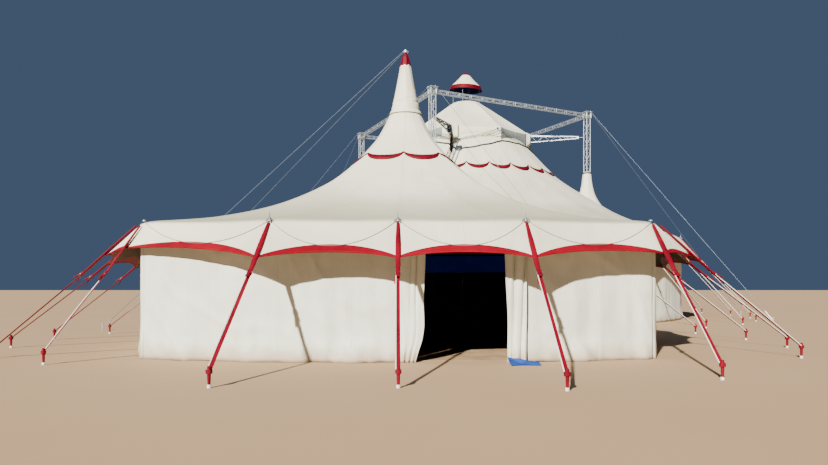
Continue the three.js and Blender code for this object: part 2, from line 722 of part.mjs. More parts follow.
const sleeveProfile = [[204.5, 7280], [262, 6800], [420, 6200], [760, 5600]];
const mastNames = Object.keys(quarters);
mast.angles.forEach((angle, k) => {
  const foot = polar(mast.orbit, angle);
  const next = polar(mast.orbit, mast.angles[(k + 1) % mast.angles.length]);
  const span = new THREE.Vector2(next[0] - foot[0], next[1] - foot[1]);
  const inset = span.clone().setLength(headBlock.side / 2 - 8);
  const skew = (Math.atan2(span.y, span.x) / degrees - mast.turn) % 90 * degrees;
  const clear = headBlock.side / 2 + fitGap + truss.side / 2 * Math.abs(Math.sin(skew));
  const free = span.clone().setLength(clear / Math.cos(skew));
  const start = [foot[0] + inset.x, foot[1] + inset.y, truss.level];
  const end = [next[0] - free.x, next[1] - free.y, truss.level];
  addPart(`mast_${mastNames[k]}`, fused([
    ...lattice(
      [...foot, 20],
      [...foot, mast.height],
      mast.side,
      mast.panels,
      mast.chord,
      mast.lace,
      mast.turn,
    ),
    block(600, 600, 24, [...foot, 12], mast.turn),
    block(headBlock.side, headBlock.side, headBlock.to - headBlock.from,
      [...foot, (headBlock.from + headBlock.to) / 2], mast.turn),
    ...lattice(start, end, truss.side, truss.panels, 14, 9, 0),
  ]), steelLook);

  const inner = sleeveProfile.map(([r, z]) => [r - canvasThick, z]).reverse();
  const cone = turned([...sleeveProfile, ...inner, sleeveProfile[0]], 16, foot, angle);
  addPart(`mast_sleeve_${mastNames[k]}`, without(cone, [beneath]), canvasLook);

  const top = headBlock.to + 18 + fitGap;
  addPart(`mast_guys_${mastNames[k]}`, fused([
    block(520, 520, 36, [...foot, top], mast.turn),
    ...(k === 0 ? frontGuyFeet : guyFeet).flatMap(([turn, radius]) => {
      const peg = polar(radius, angle + turn);
      const off = new THREE.Vector2(peg[0] - foot[0], peg[1] - foot[1]).setLength(245);
      return stay([foot[0] + off.x, foot[1] + off.y, top + 2], peg);
    }),
  ]), cableLook);
});

// The cross that lifts the roof's crown, with the crown hoop and the cap's posts

const hubRadius = 340;
function crossArm(angle) {
  const side = (radius, offset, z) => {
    const [x, y] = polar(radius, angle);
    return [x - offset * Math.sin(angle * degrees), y + offset * Math.cos(angle * degrees), z];
  };
  const topAt = (radius) => mix(9780, 9250, radius / armTip);
  const lowAt = (radius) => mix(9100, 9160, radius / armTip);
  const halfWidth = (radius) => mix(190, 40, radius / armTip);
  const stations = [600, 2400, 4200, armTip - 100];
  const pieces = [
    ...[-1, 1].map((turn) => rod(
      side(hubRadius - 60, turn * halfWidth(hubRadius), topAt(hubRadius)),
      side(armTip, turn * halfWidth(armTip), topAt(armTip)),
      24,
      4,
    )),
    rod(side(hubRadius - 60, 0, lowAt(hubRadius)), side(armTip, 0, lowAt(armTip)), 24, 4),
    rod(side(armTip - 20, 0, 9205), side(mast.orbit - 181.7, 0, 9205), 14, 4),
    beam(side(armTip - 10, -50, 9205), side(armTip - 10, 50, 9205), 60, 130),
  ];
  for (let s = 0; s < stations.length - 1; s++) {
    const [near, far] = s % 2 ? [stations[s], stations[s + 1]] : [stations[s + 1], stations[s]];
    for (const turn of [-1, 1]) {
      pieces.push(rod(side(near, turn * halfWidth(near), topAt(near)), side(far, 0, lowAt(far)), 12, 3));
    }
  }
  return pieces;
}

const hoopLow = hood.crown - 120;
const hoopOut = bigTop.ringRadius - 50;
const hoop = turned([
  [hoopOut - 60, hoopLow], [hoopOut, hoopLow], [hoopOut, hoopLow + 65], [hoopOut - 60, hoopLow + 65],
  [hoopOut - 60, hoopLow],
], 16, bigTop.centre);
const postOrbit = 730;
const hub = rod([...bigTop.centre, 9060], [...bigTop.centre, 9900], hubRadius, 8);

// The cap leans: its rim falls towards the entrance and a little to the right
const capFall = [-0.053, 0.106];
const leanAt = ([x, y]) => capFall[0] * (x - bigTop.centre[0]) + capFall[1] * (y - bigTop.centre[1]);
function leaning(geometry) {
  const lean = new THREE.Matrix4().set(
    1, 0, 0, 0,
    0, 1, 0, 0,
    ...capFall, 1, -capFall[0] * bigTop.centre[0] - capFall[1] * bigTop.centre[1],
    0, 0, 0, 1,
  );
  return geometry.applyMatrix4(lean);
}

addPart('lifting_cross', fused([
  hub,
  ...mast.angles.flatMap(crossArm),
  hoop,
  ...mast.angles.map((angle) => {
    const post = polar(postOrbit, angle);
    return rod([...post, 9100], [...post, 12438 + leanAt(post)], 18, 4);
  }),
]), steelLook);

const capSides = 24;
addPart('cap_cone', leaning(turned([
  [800, 12420], [200, 13050], [178, 13050], [770, 12420], [800, 12420],
], capSides, bigTop.centre)), canvasLook);
addPart('cap_skirt', leaning(turned([
  [885, 12200], [806, 12420 - fitGap], [776, 12420 - fitGap], [860, 12200], [885, 12200],
], capSides, bigTop.centre)), redLook);
addPart('cap_tip', leaning(turned([
  [0, 13050 + fitGap], [215, 13050 + fitGap], [150, 13130], [40, 13200], [0, 13200],
], capSides, bigTop.centre)), redLook);

export default group;
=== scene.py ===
import random
from bisect import bisect_right
from math import atan2, ceil, copysign, cos, exp, floor, pi, radians, sin

import bmesh
import bpy
from mathutils import Matrix, Vector, noise


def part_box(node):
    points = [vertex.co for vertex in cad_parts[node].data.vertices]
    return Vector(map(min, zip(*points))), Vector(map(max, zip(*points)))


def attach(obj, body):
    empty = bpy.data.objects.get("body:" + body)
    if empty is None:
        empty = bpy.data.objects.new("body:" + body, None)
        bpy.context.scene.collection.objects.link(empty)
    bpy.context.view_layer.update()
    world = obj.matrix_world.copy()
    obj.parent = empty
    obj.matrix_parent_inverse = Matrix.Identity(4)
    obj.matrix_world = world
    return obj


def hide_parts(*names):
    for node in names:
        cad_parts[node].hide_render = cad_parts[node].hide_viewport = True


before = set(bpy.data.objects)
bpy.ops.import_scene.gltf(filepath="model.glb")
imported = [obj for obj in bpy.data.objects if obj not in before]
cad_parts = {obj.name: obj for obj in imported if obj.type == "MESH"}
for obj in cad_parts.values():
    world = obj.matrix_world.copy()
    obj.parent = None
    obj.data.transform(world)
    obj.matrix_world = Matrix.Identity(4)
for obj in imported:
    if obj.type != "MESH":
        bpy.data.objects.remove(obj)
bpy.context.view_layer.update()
scene = bpy.context.scene
up = Vector((0, 0, 1))
print("frame loaded:", len(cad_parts), "nodes")


# Shader maths: a socket that works in plain expressions, and a paint that makes nodes

class Field:
    def __init__(self, paint, socket):
        self.paint = paint
        self.socket = socket

    def math(self, operation, *others):
        inputs = dict(enumerate([self, *others]))
        return self.paint.node("ShaderNodeMath", 0, inputs, operation=operation)

    def __add__(self, other):
        return self.math("ADD", other)

    def __sub__(self, other):
        return self.math("SUBTRACT", other)

    def __rsub__(self, other):
        return self * -1.0 + other

    def __mul__(self, other):
        return self.math("MULTIPLY", other)

    def __truediv__(self, other):
        return self.math("DIVIDE", other)

    __radd__ = __add__
    __rmul__ = __mul__

    def folded(self):  # distance to the nearest whole number
        return (self - self.math("ROUND")).math("ABSOLUTE")

    def ramp(self, low, high, lowValue=0.0, highValue=1.0):  # smooth step between two values
        inputs = {0: self, 1: low, 2: high, 3: lowValue, 4: highValue}
        return self.paint.node("ShaderNodeMapRange", 0, inputs, interpolation_type="SMOOTHSTEP")

    def fade(self, low, high):
        return self.ramp(low, high, 1.0, 0.0)


class Paint:
    def __init__(self, name):
        self.material = bpy.data.materials.new(name)
        self.material.use_nodes = True
        self.tree = self.material.node_tree
        self.shader = self.tree.nodes["Principled BSDF"]

    def node(self, kind, output, inputs={}, **settings):  # a new node, as the field of one output
        made = self.tree.nodes.new(kind)
        for name, value in settings.items():
            setattr(made, name, value)
        for name, value in inputs.items():
            self.feed(made.inputs[name], value)
        return Field(self, made.outputs[output])

    def feed(self, socket, value):
        if isinstance(value, Field):
            self.tree.links.new(value.socket, socket)
        else:
            socket.default_value = value

    def done(self, colour, roughness, normal, **others):  # others by name, with _ for a space
        values = {"Base_Color": colour, "Roughness": roughness, "Normal": normal, **others}
        for name, value in values.items():
            self.feed(self.shader.inputs[name.replace("_", " ")], value)
        return self.material

    def attribute(self, name):
        return self.node("ShaderNodeAttribute", "Fac", attribute_name=name)

    def place(self):
        return self.node("ShaderNodeTexCoord", "Object")

    def axis(self, vector, name):
        return self.node("ShaderNodeSeparateXYZ", name, {0: vector})

    def vector(self, x, y):
        return self.node("ShaderNodeCombineXYZ", 0, {0: x, 1: y})

    def noise(self, vector, scale, detail=4.0, roughness=0.6):
        inputs = {"Vector": vector, "Scale": scale, "Detail": detail, "Roughness": roughness}
        return self.node("ShaderNodeTexNoise", "Fac", inputs)

    def mix(self, amount, first, second):
        inputs = {0: amount, 6: first, 7: second}
        return self.node("ShaderNodeMix", 2, inputs, data_type="RGBA", clamp_factor=True)

    def bump(self, height, strength, distance, under=None):
        inputs = {"Height": height, "Strength": strength, "Distance": distance}
        if under is not None:
            inputs["Normal"] = under
        return self.node("ShaderNodeBump", 0, inputs)


def tone(red, green, blue):  # a colour from screen values out of 255
    def linear(value):
        value /= 255
        return value / 12.92 if value < 0.04045 else ((value + 0.055) / 1.055) ** 2.4
    return (linear(red), linear(green), linear(blue), 1.0)


# Coated canvas: welded panels, rain marks, a faint cloth grain and soft creases

def canvasPaint(name, settings):
    paint = Paint(name)
    panel = paint.attribute("panel")            # one whole number for each welded seam
    width = paint.attribute("panelWidth")       # metres from seam to seam
    down = paint.attribute("down")              # metres down the cloth
    dirtAndShade, lift = settings["dirtAndShade"], settings["lift"]
    across = panel * width
    seamGap = panel.folded() * width
    stitch = (seamGap - 0.021).math("ABSOLUTE").fade(0.0, 0.006)
    seams = seamGap.fade(0.018, 0.024) + ((down / lift).folded() * lift).fade(0.016, 0.022)
    place = paint.place()
    cloud = paint.noise(place, settings["cloud"], 4.0, 0.55)
    streak = paint.noise(paint.vector(across * 5.0, down * 0.45), 1.0)
    speck = paint.noise(place, 38.0, 2.0)
    colour = paint.mix(cloud.ramp(0.32, 0.68), settings["dark"], settings["light"])
    colour = paint.mix(streak.ramp(0.52, 0.8) * settings["streaks"], colour, dirtAndShade)
    colour = paint.mix(speck.ramp(0.7, 0.8) * 0.10, colour, dirtAndShade)
    colour = paint.mix(seams.ramp(0.0, 1.0) * 0.30, colour, settings["seam"])
    colour = paint.mix(stitch * settings["line"], colour, dirtAndShade)
    # painted shade and dust: faces that look upwards are darkened towards the dirt tone
    flat = paint.axis(paint.node("ShaderNodeNewGeometry", "Normal"), "Z").ramp(0.78, 0.98)
    colour = paint.mix(flat * settings["dustAndShade"], colour, dirtAndShade)
    if settings["splash"]:                      # dust thrown up by rain, near the ground
        height = paint.axis(place, "Z")
        edge = paint.noise(paint.vector(across, height), 2.6)
        splash = (height + edge * -0.36).fade(-0.18, 0.22)
        colour = paint.mix(splash * settings["splash"], colour, settings["soil"])
    grain = (across * 420.0).math("SINE") * (down * 420.0).math("SINE")
    crease = paint.noise(paint.vector(across * 1.6, down * 0.7), 1.3, 5.0, 0.62)
    normal = paint.bump(grain, 0.06, 0.002)
    normal = paint.bump(crease, settings["creases"], 0.05, normal)
    normal = paint.bump(seams, 0.55, 0.004, normal)
    return paint.done(colour, cloud.ramp(0.2, 0.8, 0.5, 0.68), normal,
                      Specular_IOR_Level=0.35, Sheen_Weight=0.12, Sheen_Roughness=0.5)


canvasTones = {
    "light": tone(208, 206, 184), "dark": tone(197, 195, 171), "dirtAndShade": tone(146, 141, 118),
    "seam": tone(216, 214, 194), "soil": tone(160, 138, 110), "cloud": 0.55, "lift": 4.1,
    "streaks": 0.30, "line": 0.35, "splash": 0, "creases": 0.30, "dustAndShade": 0.75,
}
roofCanvas = canvasPaint("roof canvas", canvasTones)
wallCanvas = canvasPaint("wall canvas", {
    **canvasTones, "light": tone(208, 209, 192), "dark": tone(196, 197, 179), "lift": 5.0,
    "streaks": 0.22, "splash": 0.8, "creases": 0.55, "cloud": 1.1,
})
# painted shade: a darker grey-green copy of the roof canvas, for one side of the hood's band at each arm,
# where that side stands in shade
shadedBandCanvas = canvasPaint("painted shade band canvas", {
    **canvasTones, "light": tone(118, 128, 124), "dark": tone(96, 106, 104), "lift": 3.0, "dustAndShade": 0,
})


# Red canvas and webbing, sun-faded, with a ribbed weave

def redPaint(name, ribs, light, dark, faded):
    paint = Paint(name)
    place = paint.place()
    wear = paint.noise(place, 14.0, 4.0, 0.65)
    colour = paint.mix(paint.noise(place, 1.6).ramp(0.3, 0.7), dark, light)
    colour = paint.mix(wear.ramp(0.55, 0.8) * 0.35, colour, faded)
    weave = (paint.axis(place, "X") * ribs).math("SINE") + (paint.axis(place, "Z") * ribs).math("SINE")
    normal = paint.bump(wear, 0.25, 0.01, paint.bump(weave, 0.10, 0.002))
    return paint.done(colour, wear.ramp(0.3, 0.8, 0.48, 0.7), normal, Specular_IOR_Level=0.12)


redCanvas = redPaint("red canvas", 420.0, tone(122, 0, 22), tone(102, 0, 16), tone(130, 8, 32))
redWebbing = redPaint("red webbing", 900.0, tone(112, 0, 24), tone(88, 0, 18), tone(126, 12, 42))
trimRed = redPaint("red trim", 420.0, tone(94, 0, 20), tone(76, 0, 14), tone(104, 8, 30))


# Linings, cords and other plain cloth

# glow is painted light: an emission that stands in for daylight through the cloth
def liningPaint(name, light, dark, glow=0.0):  # glow: daylight that comes through the cloth
    paint = Paint(name)
    place = paint.place()
    cloud = paint.noise(place, 2.2)
    fold = paint.noise(paint.vector(paint.axis(place, "X") * 5.0, paint.axis(place, "Z") * 0.5), 1.0)
    colour = paint.mix(cloud.ramp(0.3, 0.7), dark, light)
    shining = {"Emission_Color": colour, "Emission_Strength": glow} if glow else {}
    return paint.done(colour, cloud.ramp(0.2, 0.8, 0.72, 0.9), paint.bump(fold, 0.5, 0.03),
                      Specular_IOR_Level=0.1, **shining)


# painted shade: near-black inner faces of the canvas, so that the insides of the tents look dark
paintedShadeLining = liningPaint("painted shade lining", (0.006, 0.006, 0.008, 1), (0.003, 0.003, 0.004, 1))
navyLining = liningPaint("navy lining", (0.006, 0.014, 0.085, 1), (0.004, 0.009, 0.05, 1))
# painted light: a brighter navy that also glows, standing in for daylight on the pelmet in the shade inside
pelmetCanvas = liningPaint("pelmet canvas", (0.02, 0.03, 0.34, 1), (0.012, 0.02, 0.24, 1), 0.07)
footCanvas = liningPaint("blue foot canvas", tone(34, 72, 150), tone(22, 50, 116))
# painted shade: the skirt's inner face is dark brown, so the walls under the skirts get less bounced light
skirtShadeLining = liningPaint("skirt painted shade lining", tone(92, 80, 70), tone(74, 64, 56))
trodden = liningPaint("trodden matting", tone(158, 132, 100), tone(140, 114, 84))
greyCord = liningPaint("grey cord", tone(126, 124, 112), tone(100, 98, 90))
# painted shade: this dark cord is used for the shaded gap under the hood's edge and for the shadow strip
# under each arm mouth
paintedShadeCord = liningPaint("painted shade cord", tone(52, 58, 60), tone(34, 40, 44))


# Galvanised steel with a zinc spangle, and twisted wire

def steelPaint(name, light, dark, metallic):
    paint = Paint(name)
    place = paint.place()
    cells = paint.node("ShaderNodeTexVoronoi", "Color", {"Vector": place, "Scale": 60.0})
    spangle = paint.axis(cells, "X")
    stain = paint.noise(place, 11.0)
    colour = paint.mix(spangle * 0.6 + paint.noise(place, 3.0) * 0.4, dark, light)
    colour = paint.mix(stain.ramp(0.62, 0.78) * 0.4, colour, tone(120, 104, 88))
    return paint.done(colour, spangle.ramp(0.0, 1.0, 0.34, 0.52), paint.bump(stain, 0.12, 0.004),
                      Metallic=metallic)


galvanised = steelPaint("galvanised steel", tone(176, 184, 192), tone(140, 148, 158), 0.55)
dullSteel = steelPaint("dull zinc", tone(128, 130, 132), tone(92, 94, 98), 0.4)
darkSteelAndShade = steelPaint("dark steel and painted shade", tone(58, 64, 70), tone(38, 42, 48), 0.3)


def twistPaint(name, light, dark, pitch, metallic):
    paint = Paint(name)
    place = paint.place()
    turn = paint.axis(place, "X") + paint.axis(place, "Y")
    lay = (paint.attribute("down") * pitch + turn * (pitch * 0.6)).math("SINE")
    cloud = paint.noise(place, 4.0, 3.0)
    # painted shade: the grooves between the strands are darker
    colour = paint.mix(lay.ramp(-1.0, 0.4) * 0.7 + cloud * 0.3, dark, light)
    return paint.done(colour, cloud.ramp(0.2, 0.8, 0.4, 0.6), paint.bump(lay, 0.4, 0.002),
                      Metallic=metallic)


wireRope = twistPaint("steel wire rope", tone(104, 116, 132), tone(66, 76, 88), 300.0, 0.5)
whiteRope = twistPaint("white rope", tone(226, 226, 218), tone(176, 172, 158), 420.0, 0.0)
print("materials ready")


# Small sums that the shapes share

def mix(a, b, t):
    return a + (b - a) * t


def step(low, high, value):
    t = max(0.0, min(1.0, (value - low) / (high - low)))
    return t * t * (3 - 2 * t)


def uneven(x, y, z):
    return noise.noise(Vector((x, y, z)))


def toward(angle, length=1.0, z=0.0):
    return Vector((length * cos(angle), length * sin(angle), z))


def turns(count):
    return [2 * pi * k / count for k in range(count)]


def squared(value, power):  # a power below 1 turns a circle into a rounded square
    return copysign(abs(value) ** power, value)


def onGround(point):
    return Vector((point.x, point.y, 0))


def spread(rows, columns, point):  # rows of points, from the shares across and down
    return [[point(c / (columns - 1), r / (rows - 1)) for c in range(columns)] for r in range(rows)]


def quads(rows, columns, loop, closed=False):  # the corners of each face in a grid of points
    faces = []
    for r in range(rows if closed else rows - 1):
        near, far = r * columns, (r + 1) % rows * columns
        for c in range(columns if loop else columns - 1):
            after = (c + 1) % columns
            faces.append([near + c, far + c, far + after, near + after])
    return faces


def smoothCurve(points):  # a curve through points that never overshoots them
    xs, ys = zip(*points)
    slopes = [(ys[k + 1] - ys[k]) / (xs[k + 1] - xs[k]) for k in range(len(xs) - 1)]
    inner = [2 * a * b / (a + b) if a * b > 0 else 0.0 for a, b in zip(slopes, slopes[1:])]
    lean = [slopes[0], *inner, slopes[-1]]

    def at(x):
        k = bisect_right(xs[1:-1], x)
        span = xs[k + 1] - xs[k]
        t = (x - xs[k]) / span
        return (ys[k] * (1 + 2 * t) * (1 - t) ** 2 + lean[k] * span * t * (1 - t) ** 2
                + ys[k + 1] * t * t * (3 - 2 * t) + lean[k + 1] * span * t * t * (t - 1))
    return at


def splineCurve(points):  # an even curve through points, looked up by its first value
    fine = 400

    def place(t):
        k = min(int(t), len(points) - 2)
        w = t - k
        before, a, b = points[max(k - 1, 0)], points[k], points[k + 1]
        after = points[min(k + 2, len(points) - 1)]
        return [((2 * a[j] - 2 * b[j] + (b[j] - before[j]) / 2 + (after[j] - a[j]) / 2) * w ** 3
                 + (3 * b[j] - 3 * a[j] - (b[j] - before[j]) - (after[j] - a[j]) / 2) * w * w
                 + (b[j] - before[j]) / 2 * w + a[j]) for j in (0, 1)]

    xs, ys = zip(*[place(k * (len(points) - 1) / fine) for k in range(fine + 1)])

    def at(x):
        k = max(0, min(fine - 1, bisect_right(xs, x) - 1))
        return mix(ys[k], ys[k + 1], max(0.0, min(1.0, (x - xs[k]) / (xs[k + 1] - xs[k]))))
    return at


# Mesh code: a heap of shapes that becomes one piece

class Heap:
    def __init__(self):
        self.points, self.faces, self.slots = [], [], []
        self.values = {"panel": [], "panelWidth": [], "down": []}

    def add(self, points, faces, **values):
        start = len(self.points)
        self.points += [Vector(point) for point in points]
        self.faces += [[start + k for k in face] for face in faces]
        self.slots += [0] * len(faces)
        for name, kept in self.values.items():
            kept += values.get(name) or [0.5] * len(points)

    def grid(self, rows, loop=False, **values):  # values: numbers, or functions of row and column
        cells = [(r, c) for r in range(len(rows)) for c in range(len(rows[0]))]
        flat = {name: [given(r, c) if callable(given) else given for r, c in cells]
                for name, given in values.items()}
        self.add(sum(rows, []), quads(len(rows), len(rows[0]), loop), **flat)

    def loft(self, rings):  # closed rings one after another, with ends
        sides, last = len(rings[0]), (len(rings) - 1) * len(rings[0])
        faces = [[a, d, c, b] for a, b, c, d in quads(len(rings), sides, True)]
        faces += [list(range(sides - 1, -1, -1)), [last + k for k in range(sides)]]
        down, length = [], 0.0
        for before, ring in zip([rings[0], *rings], rings):
            length += (ring[0] - before[0]).length
            down += [length] * sides
        self.add(sum(rings, []), faces, down=down)

    def band(self, path, sizes, facing, power):  # a strap along a path, with (width, thickness)
        rings, sides = [], 12
        around = [2 * pi * (j + 0.5) / sides for j in range(sides)]
        for k, (width, thick) in enumerate(sizes):
            along = path[min(k + 1, len(path) - 1)] - path[max(k - 1, 0)]
            side = along.cross(facing).normalized()
            out = side.cross(along).normalized()
            rings.append([path[k] + side * (squared(cos(turn), 2 / power) * width / 2)
                          + out * (squared(sin(turn), 2 / power) * thick / 2) for turn in around])
        self.loft(rings)

    def tube(self, path, radius, sides=8):
        path = [Vector(point) for point in path]
        side = (path[1] - path[0]).normalized().orthogonal().normalized()
        rings = []
        for k, point in enumerate(path):
            along = (path[min(k + 1, len(path) - 1)] - path[max(k - 1, 0)]).normalized()
            side = (side - along * side.dot(along)).normalized()
            other = along.cross(side)
            size = radius[k] if isinstance(radius, list) else radius
            rings.append([point + side * (size * cos(t)) + other * (size * sin(t)) for t in turns(sides)])
        self.loft(rings)

    def block(self, centre, size, turn):  # a box with its upright edges and its rims cut off
        wide, deep, high = (value / 2 for value in size)
        cut = 0.12 * min(size)
        outline = [
            (wide, -deep + cut), (wide, deep - cut), (wide - cut, deep), (-wide + cut, deep),
            (-wide, deep - cut), (-wide, -deep + cut), (-wide + cut, -deep), (wide - cut, -deep),
        ]
        inset = 1 - cut / max(wide, deep)
        levels = ((inset, -high), (1, -high + cut), (1, high - cut), (inset, high))
        self.loft([[centre + turn @ Vector((x * share, y * share, z)) for x, y in outline]
                   for share, z in levels])

    def turned(self, profile, centre, sides):  # a closed outline of (radius, height), turned
        rings = [[Vector((centre.x + radius * cos(angle), centre.y + radius * sin(angle), height))
                  for angle in turns(sides)] for radius, height in profile]
        self.add(sum(rings, []), [[a, d, c, b] for a, b, c, d in quads(len(rings), sides, True, True)])

    def piece(self, name, materials, slot, nodes=(), crease=35):
        mesh = bpy.data.meshes.new(name)
        mesh.from_pydata(self.points, [], self.faces)
        for material in materials:
            mesh.materials.append(material)
        mesh.polygons.foreach_set("material_index", self.slots)
        for label, given in self.values.items():
            mesh.attributes.new(label, "FLOAT", "POINT").data.foreach_set("value", given)
        mesh.update()
        mesh.shade_smooth()
        made = bpy.data.objects.new(name, mesh)
        scene.collection.objects.link(made)
        shape = bmesh.new()                     # faces out, and hard edges at sharp turns
        shape.from_mesh(mesh)
        bmesh.ops.recalc_face_normals(shape, faces=shape.faces)
        shape.to_mesh(mesh)
        shape.free()
        mesh.set_sharp_from_angle(angle=radians(crease))
        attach(made, "root")
        if nodes:
            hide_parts(*nodes)
        return made


def thickened(made, thickness, offset=None):  # real thickness; with no offset, a lining as well
    solid = made.modifiers.new("cloth thickness", "SOLIDIFY")
    solid.thickness = thickness
    solid.offset = -1.0 if offset is None else offset
    solid.material_offset = 1 if offset is None else 0
    bpy.context.view_layer.update()
    seen = made.evaluated_get(bpy.context.evaluated_depsgraph_get())
    done = bpy.data.meshes.new_from_object(seen)
    made.modifiers.clear()
    made.data = done
    return made


def cloth(name, rows, materials, slot, nodes, thickness, offset=None, loop=False, hole=None,
          second=None, crease=60, **values):
    # hole(row, column, middle) leaves faces out, second(row, column) gives them the other canvas
    heap = Heap()
    heap.grid(rows, loop, **values)
    perRow = len(rows[0]) - (0 if loop else 1)
    if second:
        heap.slots = [2 if second(*divmod(k, perRow)) else 0 for k in range(len(heap.faces))]
    if hole:
        kept = [k for k, face in enumerate(heap.faces)
                if not hole(*divmod(k, perRow), sum((heap.points[v] for v in face), Vector()) / 4)]
        heap.faces = [heap.faces[k] for k in kept]
        heap.slots = [heap.slots[k] for k in kept]
    return thickened(heap.piece(name, materials, slot, nodes, crease), thickness, offset)


def cordPiece(name, path, radius, material, slot, sides=8):
    heap = Heap()
    heap.tube(path, radius, sides)
    return heap.piece(name, [material], slot)


def flatArea(rows, loop):
    points, total = sum(rows, []), 0.0
    for a, d, e, b in ([points[k] for k in face] for face in quads(len(rows), len(rows[0]), loop)):
        total += ((b - a).cross(d - a).length + (b - e).cross(d - e).length) / 2
    return total


# The two tents, as the solids have them

def post(x, y, outX, outY, reach=0.0, share=0.29, corner=False, pole=True):
    return {"at": Vector((x, y, 0)), "out": Vector((outX, outY, 0)), "reach": reach,
            "share": share, "corner": corner, "pole": pole}


cornerReach, sideReach, nearReach, cornerShare = 3.14, 3.30, 3.40, 0.25
foyer = {
    "centre": Vector((0, 0, 0)), "crown": 2.82, "ring": 0.39, "wallTop": 2.64,
    "profile": splineCurve([(0, 6.37), (0.084, 5.44), (0.26, 4.375), (0.5, 3.545), (0.75, 3.06), (1, 2.82)]),
    "posts": [
        post(-0.08, -5.22, 0.027, -1, 3.345), post(2.42, -5.22, -0.008, -1, 3.62),
        post(5.09, -4.65, 0, -1, 3.10, cornerShare, True),
        post(5.156, -4.60, 1, 0, cornerReach, cornerShare, True, False),
        post(5.95, -2.37, 1, 0, nearReach), post(6.30, 0, 1, 0, sideReach),
        post(5.95, 2.37, 1, 0, sideReach),
        post(5.156, 4.60, 1, 0, cornerReach, cornerShare, True, False),
        post(5.09, 4.65, 0, 1), post(2.42, 5.22, 0, 1), post(-0.08, 5.22, 0, 1),
        post(-2.58, 5.22, 0, 1), post(-5.204, 4.65, 0, 1),
        post(-5.27, 4.60, -1, 0, cornerReach, cornerShare, True, False),
        post(-6.20, 2.37, -1, 0, sideReach), post(-6.60, 0, -1, 0, sideReach),
        post(-6.20, -2.37, -1, 0, nearReach),
        post(-5.336, -4.60, -1, 0, cornerReach, cornerShare, True, False),
        post(-5.27, -4.65, -0.805, -0.594, 1.85, 0.2, True), post(-2.58, -5.22, -0.048, -0.999, 3.345),
    ],
}
middle = Vector((3.065, 16.77, 0))
bigTop = {
    "centre": middle, "crown": 3.80, "ring": 0.79, "wallTop": 3.60, "posts": [],
    "profile": splineCurve([(0, 11.33), (0.24, 9.01), (0.42, 7.08), (0.63, 5.60), (0.76, 4.83), (1, 3.80)]),
}
bigRadius, bigBays, bigFirstAngle = 10.8, 28, -94.7
for bay in range(bigBays):
    angle = radians(bigFirstAngle + 360 / bigBays * bay)
    reach = 0.0 if bay in (0, 1, bigBays - 1) else 2.2 if bay in (2, bigBays - 2) else 3.2
    bigTop["posts"].append(post(middle.x + bigRadius * cos(angle), middle.y + bigRadius * sin(angle),
                                cos(angle), sin(angle), reach))
shortEave = {"out": 0.25, "drop": 0.31}
for tent in (foyer, bigTop):
    for each in tent["posts"]:
        if each["reach"]:
            drop = up * (tent["crown"] * each["share"])
            each["cusp"] = each["out"] * (each["reach"] * each["share"]) - drop
        else:
            each["cusp"] = each["out"] * shortEave["out"] - up * shortEave["drop"]


def eaveAt(tent, place):  # the crown point, the way down to the cusp line, two edge shares, the bow
    posts = tent["posts"]
    whole = floor(place)
    share = place - whole
    a, b = posts[whole % len(posts)], posts[(whole + 1) % len(posts)]
    gusset = a["corner"] and b["corner"] and (a["at"] - b["at"]).length < 0.2
    bow = 4 * share * (1 - share) * (0.45 if gusset else 1)
    crown = a["at"].lerp(b["at"], share) + up * tent["crown"]
    return crown, a["cusp"].lerp(b["cusp"], share), 0.98 - 0.33 * bow, 1 - 0.154 * bow, bow


crownSag = 0.025


def roofPoint(tent, place, share, lift=0.0):
    crown, *_, bow = eaveAt(tent, place)
    height = tent["profile"]
    radial = onGround(crown - tent["centre"])
    out = radial.normalized()
    point = tent["centre"] + (out * tent["ring"]).lerp(radial, share)
    point.z = height(share) - crownSag * bow * step(0.55, 1.0, share)
    if lift:
        slope = (height(min(1, share + 0.01)) - height(share)) / 0.01 / (radial.length - tent["ring"])
        point += (out * -slope + up).normalized() * lift
    return point


def skirtPoint(tent, place, share, lift=0.0):
    crown, cusp, *_, bow = eaveAt(tent, place)
    belly = sin(pi * min(1.0, share)) * 0.035 * bow
    point = crown + cusp * share - up * (crownSag * bow * (1 - share))
    out = (eaveAt(tent, place + 0.01)[0] - eaveAt(tent, place - 0.01)[0]).cross(cusp).normalized()
    return point + (-out if out.z < 0 else out) * (lift - belly)


def roofLength(tent, place, share):  # metres down the cloth from the ring, near enough
    radius = (eaveAt(tent, place)[0] - tent["centre"]).length
    return mix(tent["ring"], radius, share) + (tent["profile"](0) - tent["profile"](share)) * 0.6


# One continuous sheet from the ring over the crown and down to the red edge

canopyDetail = {"roofRows": 52, "skirtRows": 18, "thickness": 0.006}


def skirtShare(tent, place, k):
    return eaveAt(tent, place)[2] * (k / canopyDetail["skirtRows"]) ** 0.9


def softened(tent, rows, roofShares, places):  # the crown bends round its rope, without a crease
    start, end = 0.955, 0.10
    for c, place in enumerate(places):
        shares = [(share - start) / (1 - start) / 2 for share in roofShares]
        shares += [0.5 + skirtShare(tent, place, k) / end / 2
                   for k in range(1, canopyDetail["skirtRows"] + 1)]
        before, crown = roofPoint(tent, place, start), roofPoint(tent, place, 1.0)
        after = skirtPoint(tent, place, end)
        for row, t in zip(rows, shares):
            if 0 < t < 1:
                row[c] = before * (1 - t) ** 2 + crown * (2 * t * (1 - t)) + after * t * t


